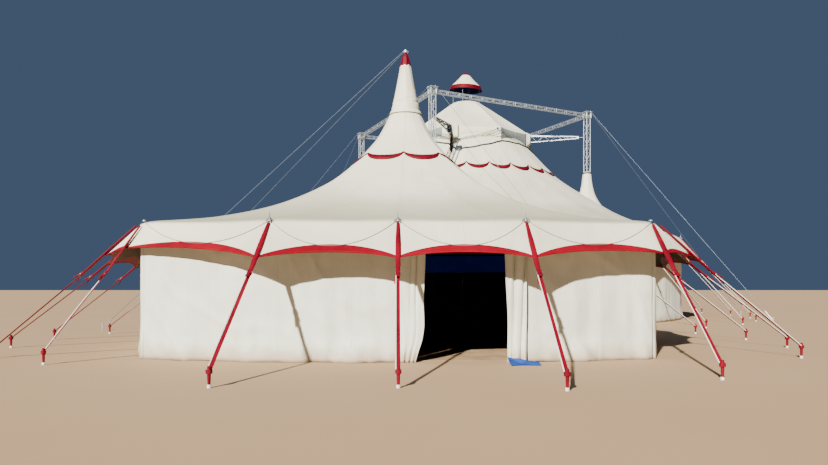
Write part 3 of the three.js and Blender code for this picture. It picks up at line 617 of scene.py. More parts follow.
def canopySheet(name, tent, columnsPerBay, panelsPerBay, hole, nodes):
    count, roofRows = len(tent["posts"]) * columnsPerBay, canopyDetail["roofRows"]
    places = [c / columnsPerBay for c in range(count)]
    roofShares = [(k / roofRows) ** 1.25 for k in range(roofRows + 1)]
    rows = [[roofPoint(tent, place, share) for place in places] for share in roofShares]
    downs = [[roofLength(tent, place, share) for place in places] for share in roofShares]
    base = downs[-1]
    for k in range(1, canopyDetail["skirtRows"] + 1):
        rows.append([skirtPoint(tent, place, skirtShare(tent, place, k)) for place in places])
        downs.append([base[c] + eaveAt(tent, place)[1].length * skirtShare(tent, place, k)
                      for c, place in enumerate(places)])
    softened(tent, rows, roofShares, places)
    print(name, "area", round(flatArea(rows, True), 1))

    def panelWidth(r, c):
        return (rows[r][(c + 1) % count] - rows[r][c - 1]).length / 2 * columnsPerBay / panelsPerBay

    return cloth(name, rows, [roofCanvas, paintedShadeLining, roofCanvas, skirtShadeLining], "roof_canvas", nodes,
                 canopyDetail["thickness"], loop=True, hole=hole, second=lambda r, c: r >= roofRows,
                 panel=lambda r, c: places[c] * panelsPerBay, panelWidth=panelWidth,
                 down=lambda r, c: downs[r][c])


mastOrbit = 6.38
mastAngles = [radians(turn) for turn in (-108.3, -18.3, 71.7, 157.6)]
mastNames = ["front", "right", "back", "left"]
armRoot = 3.38
hood = {
    "start": 0.79, "crown": 11.45, "cornerRadius": 3.35, "cornerTop": 9.47, "armTop": 9.58,
    "belly": 0.06, "sag": 0.11, "mouth": 0.20, "columns": 16,
}


def bigPolar(radius, angle, z=0.0):
    return middle + toward(angle, radius, z)


def besideArm(angle, radius, offset, z):  # out along an arm, then sideways
    return bigPolar(radius, angle, z) + up.cross(toward(angle)) * offset


def onBigRoof(point, lift=0.0):  # over or under a point, on the big roof's outer face
    offset = onGround(point) - middle
    bayAngle = radians(360 / bigBays)
    turn = (atan2(offset.y, offset.x) - radians(bigFirstAngle)) % bayAngle
    crown = bigRadius * cos(bayAngle / 2) / cos(turn - bayAngle / 2)
    share = (offset.length - bigTop["ring"]) / (crown - bigTop["ring"])
    return Vector((point.x, point.y, bigTop["profile"](max(0.0, min(1.0, share))) + lift))


def bigHole(r, c, point):  # where a mast or a lifting arm goes through the big roof
    point = onGround(point)
    for angle in mastAngles:
        local = Matrix.Rotation(-angle, 3, "Z") @ (point - middle)
        inSlot = 2.35 < local.x < armRoot - 0.08 and abs(local.y) < hood["mouth"] - 0.03
        if inSlot or (point - bigPolar(mastOrbit, angle)).length < 0.27:
            return True
    return False


foyerCanopy = canopySheet("foyerCanopy", foyer, 12, 2, None, ["foyer_canopy_front", "foyer_canopy_back"])
bigCanopy = canopySheet("bigCanopy", bigTop, 10, 1, bigHole, ["big_canopy_" + name for name in mastNames])
print("canopies made")


# The red edge is sewn over the white one, with a rolled hem

redEdgeSize = {"overlap": 0.012, "proud": 0.003, "thickness": 0.005, "hemRadius": 0.011}


def redEdge(name, tent, columnsPerBay, first, last, node):
    def edgePoint(place, t):
        _, cusp, white, red, _ = eaveAt(tent, place)
        start = white - redEdgeSize["overlap"] / cusp.length
        return skirtPoint(tent, place, mix(start, red, t), redEdgeSize["proud"])

    places = [first + k / columnsPerBay for k in range(int((last - first) * columnsPerBay) + 1)]
    rows = [[edgePoint(place, k / 6) for place in places] for k in range(7)]
    band = cloth(name, rows, [redCanvas, paintedShadeLining], "red_canvas", [node], redEdgeSize["thickness"], 1.0)
    cordPiece(name + "Hem", rows[-1], redEdgeSize["hemRadius"], redCanvas, "red_canvas", 6)
    return band


foyerSides = {"front": (-3.5, 3.5), "right": (3.5, 7.5), "back": (7.5, 12.5), "left": (12.5, 16.5)}
bigSides = {"front": (-5.5, 1.5), "right": (1.5, 8.5), "back": (8.5, 15.5), "left": (15.5, 22.5)}
foyerBands = [redEdge("foyerEdge." + side, foyer, 16, *span, "foyer_edge_straps_" + side)
              for side, span in foyerSides.items()]
bigBands = [redEdge("bigEdge." + side, bigTop, 10, *span, "big_edge_straps_" + side)
            for side, span in bigSides.items()]


# Red scallops sewn round both roofs

scallop = {"steps": 14, "thick": 0.024, "proud": 0.014}


def placeAtAngle(tent, angle):  # the bay coordinate whose crown lies in that direction
    posts = tent["posts"]
    target = toward(radians(angle))
    for k in range(len(posts)):
        a = posts[k]["at"] - tent["centre"]
        b = posts[(k + 1) % len(posts)]["at"] - tent["centre"]
        ca, cb = a.cross(target).z, b.cross(target).z
        if ca >= -1e-9 and cb < 1e-9 and a.dot(target) > 0:
            return k + ca / (ca - cb)
    return 0.0


def scallopTrim(name, tent, count, firstAngle, cuspShare, drop):
    heap = Heap()
    for each in range(count):
        upper, lower = [], []
        for k in range(scallop["steps"] + 1):
            s = k / scallop["steps"]
            bow = (4 * s * (1 - s)) ** 0.72
            place = placeAtAngle(tent, firstAngle + 360 / count * (each + s))
            start, thick = cuspShare + drop * bow, scallop["thick"] * (0.25 + 0.75 * bow)
            upper.append(roofPoint(tent, place, start, scallop["proud"]))
            lower.append(roofPoint(tent, place, start + thick, scallop["proud"]))
        heap.grid([upper, [a.lerp(b, 0.5) for a, b in zip(upper, lower)], lower])
    return thickened(heap.piece(name, [trimRed], "red_canvas", crease=60), 0.004, 1.0)


foyerTrim = scallopTrim("foyerScallops", foyer, 8, -92, 0.142, 0.016)
bigTrim = scallopTrim("bigScallops", bigTop, 27, -94.4, 0.381, 0.020)
print("red edges and scallops made")


# Guy straps: a padded sleeve, a ratchet with its tail, a thin strap with a rope, a covered stake

strapSize = {
    "sleeveStart": 0.042, "sleeveEnd": 0.385, "sleeveWidth": 0.10, "sleeveThick": 0.042,
    "strapWidth": 0.062, "strapThick": 0.010, "pegShare": 0.97, "stakeTop": 0.32, "spike": 0.10,
}
sleeveSwell = smoothCurve([(0, 0.60), (0.15, 0.74), (0.5, 1.0), (0.8, 0.96), (0.95, 0.8), (1, 0.62)])


def guyStrap(tent, each, red, rope, steel, seed):
    pick = random.Random(seed)
    scale = tent["crown"] / foyer["crown"]
    slope = atan2(tent["crown"], each["reach"])
    facing = each["out"] * sin(slope) + up * cos(slope)
    side = each["out"].cross(up).normalized()
    lift = 0.014 + (0.028 if each["corner"] else 0.0)

    def on(share, above=0.0, across=0.0):
        point = each["at"] + each["out"] * (each["reach"] * share) + up * (tent["crown"] * (1 - share))
        return point + facing * (lift + above) + side * across

    end = strapSize["sleeveEnd"] / scale
    path = [on(mix(strapSize["sleeveStart"] / scale, end, k / 16), 0.004) for k in range(17)]
    swell = [sleeveSwell(k / 16) for k in range(17)]
    red.band(path, [(strapSize["sleeveWidth"] * value, strapSize["sleeveThick"] * (0.5 + 0.5 * value))
                    for value in swell], facing, 2.6)
    ratchet = end + 0.012
    turn = Matrix((side, (on(1.0) - on(0.0)).normalized(), facing)).transposed()
    red.block(on(ratchet, 0.012), (0.085, 0.13, 0.045), turn)
    red.block(on(ratchet + 0.02, 0.045), (0.07, 0.16, 0.014), turn @ Matrix.Rotation(0.25, 3, "X"))
    steel.tube([on(ratchet, 0.02, -0.055), on(ratchet, 0.02, 0.055)], 0.012)
    tail = [on(ratchet + 0.01, 0.02, 0.03)]
    for k in range(1, 6):
        aside = side * pick.uniform(-0.004, 0.010)
        tail.append(tail[-1] + aside - up * 0.035 + each["out"] * pick.uniform(0.012, 0.03))
    red.band(tail, [(0.036, 0.005)] * 6, facing, 4)
    stake = onGround(on(strapSize["pegShare"]))
    tie = stake + up * 0.24
    low = [on(ratchet).lerp(tie, k / 10) for k in range(11)]
    red.band(low, [(strapSize["strapWidth"], strapSize["strapThick"])] * 11, facing, 5)
    rope.tube([point + side * 0.036 + facing * (0.004 + 0.01 * sin(pi * k / 10))
               for k, point in enumerate(low)], 0.009, 6)
    steel.tube([stake, stake + up * 0.30], 0.016)
    cover = [stake + up * z for z in (0.04, 0.14, 0.24, 0.31, strapSize["stakeTop"])]
    red.tube(cover, [0.022, 0.026, 0.029, 0.027, 0.016], 10)
    rope.tube([stake + up * 0.002, stake + up * 0.05], 0.030, 10)
    red.band([tie + up * 0.03, tie, tie - up * 0.03], [(0.095, 0.09)] * 3, each["out"], 3)


def poleTop(tent, each, steel):  # a clawed plate over the canvas, with a short spike
    corner, claws = each["corner"], 6
    tilt = each["out"] * 0.55 - up * 0.28
    proud, drop = (0.03, -0.012) if corner else (0.085, 0.052)
    base = each["at"] + each["out"] * proud + up * (tent["crown"] - drop)
    side = each["out"].cross(up).normalized()
    steel.tube([base - up * 0.012, base + up * 0.012], [0.046, 0.040], 14)
    for claw in range(0 if corner else claws):
        turn = claw * pi / 3
        way = (side * cos(turn) + tilt * (sin(turn) / tilt.length)).normalized()
        steel.tube([base + up * 0.02, base + way * 0.052 + up * 0.022, base + way * 0.078 - up * 0.012],
                   0.010, 6)
    steel.tube([base + up * 0.01, base + up * (0.02 if corner else 0.07)], [0.026, 0.016], 10)
    if not corner:
        steel.tube([base + up * 0.06, base + up * (0.07 + strapSize["spike"])], [0.009, 0.005])


def festoon():  # the thin rope that hangs from pole top to pole top down the skirt
    heap = Heap()
    posts, steps = foyer["posts"], 32
    for k, each in enumerate(posts):
        if (each["at"] - posts[(k + 1) % len(posts)]["at"]).length >= 1:
            heap.tube([skirtPoint(foyer, k + t, 0.05 + 0.63 * 4 * t * (1 - t), 0.010)
                       for t in (j / steps for j in range(steps + 1))], 0.006, 6)
    return heap.piece("foyerFestoon", [greyCord], "roof_canvas")


def strapSet(label, tent, first, last, node):
    red, rope, steel = Heap(), Heap(), Heap()
    for k in range(ceil(first), floor(last) + 1):
        each = tent["posts"][k % len(tent["posts"])]
        if each["reach"]:
            guyStrap(tent, each, red, rope, steel, k)
        if each["pole"]:
            poleTop(tent, each, steel)
    if red.points:
        red.piece(label + ".webbing", [redWebbing], "red_canvas", [node])
        rope.piece(label + ".rope", [whiteRope], "red_canvas")
    steel.piece(label + ".poleTops", [dullSteel], "galvanised_steel")


festoon()
for side, span in foyerSides.items():
    strapSet("foyerGuys." + side, foyer, *span, "foyer_edge_straps_" + side)
for side, span in bigSides.items():
    strapSet("bigGuys." + side, bigTop, *span, "big_edge_straps_" + side)
print("guy straps made")


# Walls: hung canvas that follows the pole line, with folds that open towards the hem

wallSize = {"offset": 0.052, "thickness": 0.004, "step": 0.04, "rows": 34, "deep": 0.15, "foot": 0.13,
            "panel": 1.45, "clear": 0.004}
doorway = {"left": 0.305, "right": 2.03, "height": 2.05, "near": 4, "far": 7.5}


def lineOf(tent, first, last, offset):  # the pole line moved out, from one place to another
    at = [each["at"] for each in tent["posts"]]

    def normal(k):
        along = at[(k + 1) % len(at)] - at[k % len(at)]
        return Vector((along.y, -along.x, 0)).normalized()

    def corner(place):
        whole = floor(place + 1e-9)
        share = max(0.0, place - whole)
        a, b = at[whole % len(at)], at[(whole + 1) % len(at)]
        if share > 1e-6:
            return a.lerp(b, share) + normal(whole) * offset
        n1, n2 = normal(whole - 1), normal(whole)
        return a + (n1 + n2) * (offset / (1 + n1.dot(n2)))

    return [corner(place) for place in [first, *range(floor(first) + 1, ceil(last)), last]]


def stopsAlong(line, countOf):  # (point, way, distance so far, share of its side)
    stops, total = [], 0.0
    for a, b in zip(line, line[1:]):
        length, way = (b - a).length, (b - a).normalized()
        count = countOf(length)
        stops += [(a.lerp(b, k / count), way, total + length * k / count, k / count) for k in range(count)]
        total += length
    return stops + [(line[-1], way, total, 1.0)]


def inDoorway(r, c, point):
    return (doorway["left"] < point.x < doorway["right"] and point.z < doorway["height"]
            and doorway["near"] < point.y < doorway["far"])


def hungWall(name, node, tent, first, last, gap, loose, seed):
    height, shift, count = tent["wallTop"], seed * 7.3, wallSize["rows"]
    stops = stopsAlong(lineOf(tent, first, last, wallSize["offset"]),
                       lambda length: max(2, round(length / wallSize["step"])))

    def clothPoint(stop, t):
        point, along, s, share = stop
        z = height * (1 - t) + wallSize["clear"]
        tied = sin(pi * share) ** 0.5 if 0 < share < 1 else 0.0
        wide = 0.5 + 0.9 * uneven(s * 1.3, z * 0.16, shift)
        slant = uneven(s * 1.1 + z * 0.9, z * 0.45 - s * 0.3, shift + 3)
        crease = max(0.0, 1 - abs(slant) * 5.5) ** 2
        fine = uneven(s * 4.2, z * 0.9, shift + 5)
        depth = mix(0.45, 1.0, t) * (wide * 0.6 + crease * 0.24 + fine * 0.24 + 0.1) * wallSize["deep"]
        foot = step(0.80, 1.0, t) * max(0.0, 0.25 + uneven(s * 1.7, 2.0, shift) * 1.6)
        push = max(-0.004, depth) * mix(1.0, tied, 0.6) + foot * wallSize["foot"] * tied
        place = point + Vector((along.y, -along.x, 0)) * (loose * push) + up * z
        if t > 0.9 and tied:
            place.z += 0.03 * (t - 0.9) * 10 * max(0.0, uneven(s * 2.3, 7.0, shift)) * tied
        return place

    sheet = cloth(name, [[clothPoint(stop, r / count) for stop in stops] for r in range(count + 1)],
                  [wallCanvas, paintedShadeLining], "wall_canvas", [node], wallSize["thickness"], hole=gap,
                  panel=lambda r, c: stops[c][2] / wallSize["panel"], panelWidth=wallSize["panel"],
                  down=lambda r, c: height * (r / count))
    total = stops[-1][2]
    opening = (doorway["right"] - doorway["left"]) * doorway["height"]
    None if not gap else round(total * height - opening, 2)


walls = [
    ("foyerWall.frontLeft", "foyer_wall_front_left", foyer, -2, 0, None, 1.0),
    ("foyerWall.frontRight", "foyer_wall_front_right", foyer, 1, 2, None, 1.0),
    ("foyerWall.right", "foyer_wall_right", foyer, 2, 8, None, 0.45),
    ("foyerWall.back", "foyer_wall_back", foyer, 8, 12, inDoorway, 0.45),
    ("foyerWall.left", "foyer_wall_left", foyer, 12, 18, None, 0.45),
    ("bigWall.front", "big_wall_front", bigTop, -6, 2, inDoorway, 0.45),
    ("bigWall.right", "big_wall_right", bigTop, 2, 9, None, 0.45),
    ("bigWall.back", "big_wall_back", bigTop, 9, 16, None, 0.45),
    ("bigWall.left", "big_wall_left", bigTop, 16, 22, None, 0.45),
]
for seed, wall in enumerate(walls, 1):
    hungWall(*wall, seed)
print("walls hung")


# Entrance curtains, drawn back into pleats

curtains = {
    "left": {"outer": -0.08, "inner": 0.455, "seed": 3.1, "cut": 0.58, "lean": 0.0, "deep": 0.05,
             "valleys": (-0.1, 0.50, 0.70, 1.06), "held": (0.42, 0.72, 0.75),
             "edge": smoothCurve([(0, 0.015), (0.35, -0.02), (0.55, -0.04), (0.72, -0.03), (0.82, -0.06),
                                  (0.92, -0.14), (1, -0.2)])},
    "right": {"outer": 2.42, "inner": 2.005, "seed": 8.7, "cut": 0.46, "lean": 0.38, "deep": 0.075,
              "valleys": (-0.62, -0.05, 0.42, 1.08), "held": (0.5, 0.9, 0.3),
              "edge": smoothCurve([(0, -0.02), (0.4, 0.02), (0.75, 0.06), (1, 0.05)])},
}


def curtain(side):  # from the pole side to the open side, with pleats that lean as they fall
    made = curtains[side]
    name, seed, high = "entranceCurtain." + side, made["seed"], foyer["wallTop"]
    start, end, loss = made["held"]

    def clothPoint(s, t):
        x = mix(made["outer"], made["inner"] + made["edge"](t), s)
        pleat = s + (0.05 * uneven(t * 2.0, seed, 0) * sin(pi * s) - made["lean"] * t)
        ridge = 0.0
        for low, top in zip(made["valleys"], made["valleys"][1:]):
            if low <= pleat <= top:
                ridge = 1 - abs(2 * (pleat - low) / (top - low) - 1) ** 3.2
        small = uneven(s * 5, t * 3.2, seed)
        belly = sin(pi * s) * step(0.35, 0.85, t)
        held = 1 - loss * step(start, end, t)
        y = -5.315 - made["deep"] * ridge * held - 0.030 * belly - 0.014 * small
        return Vector((x, y - 0.05 * step(0.86, 1.0, t) * (0.5 + small), high * (1 - t) + 0.004))

    rows = spread(45, 65, clothPoint)
    sheet = cloth(name, rows, [wallCanvas, paintedShadeLining], "wall_canvas", ["entrance_curtain_" + side],
                  0.004, 0.0, panel=lambda r, c: 0.5 + c / 64 * 0.3, panelWidth=1.0,
                  down=lambda r, c: high * (r / 44))
    hem = cordPiece(name + ".hem", [row[-1] - Vector((0, 0.004, 0)) for row in rows], 0.011,
                    wallCanvas, "wall_canvas")
    print(name, "area", round(flatArea(rows, False), 2))


def footSheet():  # the blue end of a sheet, folded out under the right curtain
    def clothPoint(s, t):
        y = mix(mix(-5.45, -5.62, s), mix(-5.93, -5.80, s), t) + 0.04 * sin(5 * s) * t
        ripple = 0.02 * (0.5 + uneven(s * 4, t * 2, 4.0)) * mix(1, 0.3, t)
        z = mix(0.10, 0.004, t ** 0.5) * mix(1, 0.25, s) + ripple + 0.006
        return Vector((mix(2.04, 2.62, s), y, z))

    sheet = cloth("curtainFoot", spread(13, 25, clothPoint), [footCanvas], "wall_canvas", (), 0.004, 0.0)


pelmet = {"from": 8.6, "to": 10.1, "inside": 0.058, "high": 2.60, "low": 2.012, "ripple": 0.006}


def hungPelmet():  # the navy band under the roof, inside the back wall
    *stops, last = stopsAlong(lineOf(foyer, pelmet["from"], pelmet["to"], -pelmet["inside"]),
                              lambda length: 60)

    def clothPoint(k, t):
        point, along, *_ = stops[k]
        wave = uneven(k * 0.11, t * 0.7, 6.0) * pelmet["ripple"] * (0.3 + t)
        return point + Vector((along.y, -along.x, 0)) * wave + up * mix(pelmet["high"], pelmet["low"], t)

    rows = [[clothPoint(k, r / 12) for k in range(len(stops))] for r in range(13)]
    sheet = cloth("innerPelmet", rows, [pelmetCanvas] * 2, "navy_canvas", ["inner_pelmet"], 0.003, 0.0)


groundSheet = {"inside": 0.062, "hole": 0.262, "lift": 0.004, "wrinkle": 0.006}


def laidGroundsheet():  # from the mast's plate out to the walls, with a few wrinkles
    line = lineOf(foyer, 0, len(foyer["posts"]), -groundSheet["inside"])[:-1]

    def clothPoint(point, t):
        square = point * (groundSheet["hole"] / max(abs(point.x), abs(point.y)))
        place = square.lerp(point, t)
        wrinkle = max(0.0, noise.noise(place * 1.9) + 0.15 * noise.noise(place * 7))
        return place + up * (groundSheet["lift"] + wrinkle * groundSheet["wrinkle"] * sin(pi * t))

    outline = [stop[0] for stop in stopsAlong(line + line[:1], lambda length: 10)[:-1]]
    rows = [[clothPoint(point, r / 40) for point in outline] for r in range(41)]
    sheet = cloth("groundsheet", rows, [trodden] * 2, "navy_canvas", ["foyer_groundsheet"], 0.003, 0.0, True)
    area = round(flatArea(rows, True), 1)


curtain("left")
curtain("right")
footSheet()
hungPelmet()
laidGroundsheet()
print("entrance made")


# The entrance tent's peak: sleeve, red tip and guys

def peakSleeve():
    outline = smoothCurve([(6.37, 0.392), (6.45, 0.385), (6.60, 0.352), (6.77, 0.315), (7.2, 0.226),
                           (7.65, 0.146)])
    count, top = 64, 7.65
    places = [placeAtAngle(foyer, 360 * k / count) for k in range(count)]
    rows = [[roofPoint(foyer, place, share, 0.020) for place in places]
            for share in (0.010, 0.0075, 0.005, 0.0025)]

    def clothPoint(angle, z):
        crush = exp(-((z - 6.60) / 0.10) ** 2)
        ripple = uneven(cos(angle) * 1.6, sin(angle) * 1.6, z * 16) * 0.030 * crush
        pull = 0.004 * sin(9 * angle + 3 * z) * step(6.6, 7.0, z)
        return toward(angle, outline(z) + ripple + pull, z)

    for r in range(49):
        rows.append([clothPoint(angle, mix(6.372, top, (r / 48) ** 1.15)) for angle in turns(count)])
    sheet = cloth("peakSleeve", rows, [roofCanvas, paintedShadeLining], "roof_canvas", ["foyer_peak_sleeve"],
                  0.005, loop=True, panel=lambda r, c: c / count * 6, panelWidth=0.35,
                  down=lambda r, c: top - rows[r][0].z)
    cordPiece("peakRim", rows[0] + rows[0][:1], 0.010, greyCord, "roof_canvas")


def peakTip():
    outline = smoothCurve([(7.635, 0.152), (7.70, 0.138), (7.80, 0.114), (7.92, 0.082), (8.00, 0.045),
                           (8.02, 0.030)])

    def clothPoint(angle, z):
        gather = 0.006 * sin(8 * angle + 4 * uneven(angle, z * 3, 1))
        return Vector(((outline(z) + gather * 1.1) * cos(angle), (outline(z) + gather) * sin(angle), z))

    rows = [[clothPoint(angle, mix(7.635, 8.02, r / 24)) for angle in turns(48)] for r in range(25)]
    sheet = cloth("peakTip", rows, [trimRed] * 2, "red_canvas", ["foyer_peak_tip"], 0.004, -1.0, True)


def stay(wire, steel, start, foot):  # a taut cable to a peg, with a turnbuckle at its foot
    foot = onGround(foot)
    peg = foot + up * 0.09
    along = (start - peg).normalized()

    def rod(radius, low, high, aside=0.0, sides=8):
        side = along.cross(up).normalized() * aside
        steel.tube([peg + along * low + side, peg + along * high + side], radius, sides)

    wire.tube([start, peg + along * 0.52], 0.008)
    rod(0.007, 0, 0.09)
    rod(0.007, 0.10, 0.46, -0.018)
    rod(0.007, 0.10, 0.46, 0.018)
    rod(0.026, 0.086, 0.114, sides=10)
    rod(0.026, 0.446, 0.474, sides=10)
    rod(0.008, 0.45, 0.54)
    steel.tube([foot, foot + up * 0.22], 0.020, 10)
    steel.tube([foot + up * 0.20, foot + up * 0.235], 0.034, 10)


peakSleeve()
peakTip()
cables, fittings = Heap(), Heap()
for foot, offset in ((Vector((-10.45, 4.0, 0)), -0.04), (Vector((-10.45, 7.3, 0)), 0.03)):
    stay(cables, fittings, Vector((-0.05, offset, 8.05)), foot)
fittings.turned([(0.026, 8.015), (0.062, 8.015), (0.066, 8.03), (0.066, 8.06), (0.058, 8.075),
                 (0.026, 8.075)], foyer["centre"], 24)
fittings.tube([(-0.085, 0, 8.045), (0.085, 0, 8.045)], 0.012)
cables.piece("peakGuys.wire", [wireRope], "steel_cable", ["foyer_mast_guys"])
fittings.piece("peakGuys.fittings", [galvanised], "galvanised_steel")
print("peak made")


# Lattice masts with head trusses, sleeves and guys

mast = {"side": 0.27, "height": 10.39, "turn": 26.7, "chord": 0.019, "lace": 0.008, "bays": 26}
head = {"side": 0.33, "low": 10.15, "high": 10.45}
truss = {"side": 0.17, "level": 10.30, "bays": 14, "chord": 0.013, "lace": 0.006}
guyFeet = [(-15, 14.6), (15, 14.6)]             # turn from the mast's direction, distance from the middle
frontGuyFeet = [(-37.6, 14.17), (36.2, 13.84)]
fourCorners = ((1, 1), (-1, 1), (-1, -1), (1, -1))
sleeveProfile = smoothCurve([(0.175, 7.40), (0.2045, 7.28), (0.262, 6.80), (0.42, 6.20), (0.76, 5.60),
                             (1.0, 5.30)])


def lattice(heap, start, end, size, first):
    along = (end - start).normalized()
    first = (first - along * first.dot(along)).normalized()
    second, reach, bays = along.cross(first), size["side"] / 2 - size["chord"], size["bays"]

    def corner(k, share):
        a, b = fourCorners[k % 4]
        return start.lerp(end, share) + first * (a * reach) + second * (b * reach)

    for k in range(4):
        heap.tube([corner(k, 0), corner(k, 1)], size["chord"], 10)
        for bay in range(bays):
            low, high, flip = bay / bays, (bay + 1) / bays, (bay + k) % 2
            heap.tube([corner(k + flip, low), corner(k + 1 - flip, high)], size["lace"], 6)
            if bay:
                heap.tube([corner(k, low), corner(k + 1, low)], size["lace"], 6)


def mastSleeve(name, foot):
    count, rows, top = 56, 26, 0.175
    grid = [[None] * count for _ in range(rows + 1)]
    for k, turn in enumerate(turns(count)):
        way, low, high = toward(turn), top, 1.0
        for _ in range(24):                     # how far out the sleeve meets the roof
            half = (low + high) / 2
            if sleeveProfile(half) > onBigRoof(foot + way * half).z + 0.008:
                low = half
            else:
                high = half
        for r in range(rows + 1):
            radius = mix(top, low, (r / rows) ** 1.2)
            gather = 0.010 * sin(7 * turn + r * 0.1) * step(0, 8, r) * step(rows, rows - 6, r)
            grid[r][k] = foot + way * (radius + gather) + up * sleeveProfile(radius)
    sheet = cloth("mastSleeve." + name, grid, [roofCanvas, paintedShadeLining], "roof_canvas",
                  ["mast_sleeve_" + name], 0.005, loop=True, panel=lambda r, c: c / count * 8,
                  panelWidth=0.3, down=lambda r, c: 7.4 - grid[r][0].z)
    strap = Heap()
    strap.turned([(0.17, 7.30), (0.212, 7.30), (0.214, 7.37), (0.17, 7.38)], foot, 32)
    strap.piece("mastCollar." + name, [darkSteelAndShade], "galvanised_steel")


for k, (name, angle) in enumerate(zip(mastNames, mastAngles)):
    steel, wires, fittings = Heap(), Heap(), Heap()
    foot, after = bigPolar(mastOrbit, angle), bigPolar(mastOrbit, mastAngles[(k + 1) % 4])
    turn = Matrix.Rotation(radians(mast["turn"]), 3, "Z")
    first = turn @ Vector((1, 0, 0))
    lattice(steel, foot + up * 0.02, foot + up * mast["height"], mast, first)
    steel.block(foot + up * 0.012, (0.6, 0.6, 0.024), turn)
    for z in (head["low"] + 0.02, head["high"] - 0.02):
        steel.block(foot + up * z, (head["side"], head["side"], 0.03), turn)
    for a, b in fourCorners:
        corner = foot + turn @ Vector((a * 0.14, b * 0.14, 0))
        steel.tube([corner + up * head["low"], corner + up * head["high"]], 0.022)
    hub = foot + up * (head["low"] + 0.15)
    steel.tube([hub - first * 0.13, hub + first * 0.13], 0.075, 20)
    span = (after - foot).normalized()
    level = up * truss["level"]
    lattice(steel, foot + span * 0.15 + level, after - span * 0.17 + level, truss, up.cross(span))
    steel.piece("mast." + name + ".lattice", [galvanised], "galvanised_steel", ["mast_" + name])
    mastSleeve(name, foot)
    top = up * (head["high"] + 0.018)
    fittings.block(foot + top, (0.40, 0.40, 0.03), turn)
    for way, radius in frontGuyFeet if k == 0 else guyFeet:
        peg = bigPolar(radius, angle + radians(way))
        eyelet = foot + (peg - foot).normalized() * 0.2 + top
        stay(wires, fittings, eyelet + up * 0.002, peg)
        fittings.tube([eyelet - up * 0.01, eyelet + up * 0.03], 0.02)
    wires.piece("mastGuys." + name + ".wire", [wireRope], "steel_cable", ["mast_guys_" + name])
    fittings.piece("mastGuys." + name + ".fittings", [galvanised], "galvanised_steel")
print("masts made")


# The lifting cross

capFall = Vector((-0.053, 0.106, 0))            # the cap leans: its rim falls towards the entrance
hoop = {"out": bigTop["ring"] - 0.05, "in": bigTop["ring"] - 0.11, "low": 11.33, "high": 11.395}
arm = {"tip": 5.93, "hubRadius": 0.34, "chord": 0.021, "lace": 0.009, "bays": 16, "end": 9.205}


def liftingCross():
    bright, dark = Heap(), Heap()
    tip, start = arm["tip"], arm["hubRadius"] - 0.06
    bright.tube([middle + up * 9.06, middle + up * 9.90], arm["hubRadius"], 24)
    for angle in mastAngles:
        # painted shade: the front arm is built in the dark steel and the other arms in bright steel, since
        # the front arm stands in shade
        steel, heavy = (dark, 1.35) if angle == mastAngles[0] else (bright, 1.0)
        chord, lace = arm["chord"] * heavy, arm["lace"] * heavy ** 2

        def top(radius, turn):
            share = radius / tip
            return besideArm(angle, radius, turn * mix(0.19, 0.04, share), mix(9.78, 9.25, share))

        def low(radius):
            return bigPolar(radius, angle, mix(9.10, 9.16, radius / tip))

        for turn in (-1, 1):
            steel.tube([top(start, turn), top(tip, turn)], chord, 10)
        steel.tube([low(start), low(tip)], chord, 10)
        for bay in range(arm["bays"]):
            near, far = (mix(0.5, tip - 0.08, k / arm["bays"]) for k in (bay, bay + 1))
            ends = (near, far) if bay % 2 else (far, near)
            for turn in (-1, 1):
                steel.tube([top(ends[0], turn), low(ends[1])], lace, 6)
            steel.tube([top(far, -1), top(far, 1)], lace, 6)
        steel.tube([bigPolar(reach, angle, arm["end"]) for reach in (tip - 0.02, mastOrbit - 0.18)], 0.014)
        steel.block(bigPolar(tip - 0.01, angle, arm["end"]), (0.12, 0.10, 0.13),
                    Matrix.Rotation(angle, 3, "Z"))
        leg = bigPolar(0.73, angle)
        bright.tube([leg + up * 9.10, leg + up * (12.438 + capFall.dot(leg - middle))], 0.008, 10)
    rim, low = hoop["out"], hoop["low"]
    bright.turned([(hoop["in"], low), (rim, low), (rim + 0.012, low + 0.03), (rim, hoop["high"]),
                   (hoop["in"], hoop["high"])], middle, 64)
    bright.piece("liftingCross", [galvanised], "galvanised_steel", ["lifting_cross"])
    dark.piece("frontArm", [darkSteelAndShade], "galvanised_steel")


# The hood over the arms: facets from the ring to an eight-sided edge, a band, a brim on the roof

brimLeft = smoothCurve([(0, 3.42), (0.35, 3.70), (0.80, 3.93), (1, 3.64)])    # towards the next arm
brimRight = smoothCurve([(0, 3.42), (0.6, 3.44), (1, 3.64)])
facetRows, bandRows, brimRows = 24, 8, 6


def hoodCorner(k):
    gap = (mastAngles[(k + 1) % 4] - mastAngles[k]) % (2 * pi)
    return mastAngles[k] + gap / 2


def hoodEdge(k, share):
    # k is the arm; the share goes from -1 at the corner before it to 1 at the corner after it
    corner = hoodCorner(k) if share >= 0 else hoodCorner((k + 3) % 4)
    s = 1 - abs(share)
    edge = bigPolar(hood["cornerRadius"], corner).lerp(bigPolar(armRoot, mastAngles[k]), s)
    bow = 4 * s * (1 - s)
    edge.z = mix(hood["cornerTop"], hood["armTop"], s) - hood["belly"] * bow
    return edge, bow, (brimLeft if share >= 0 else brimRight)(s)


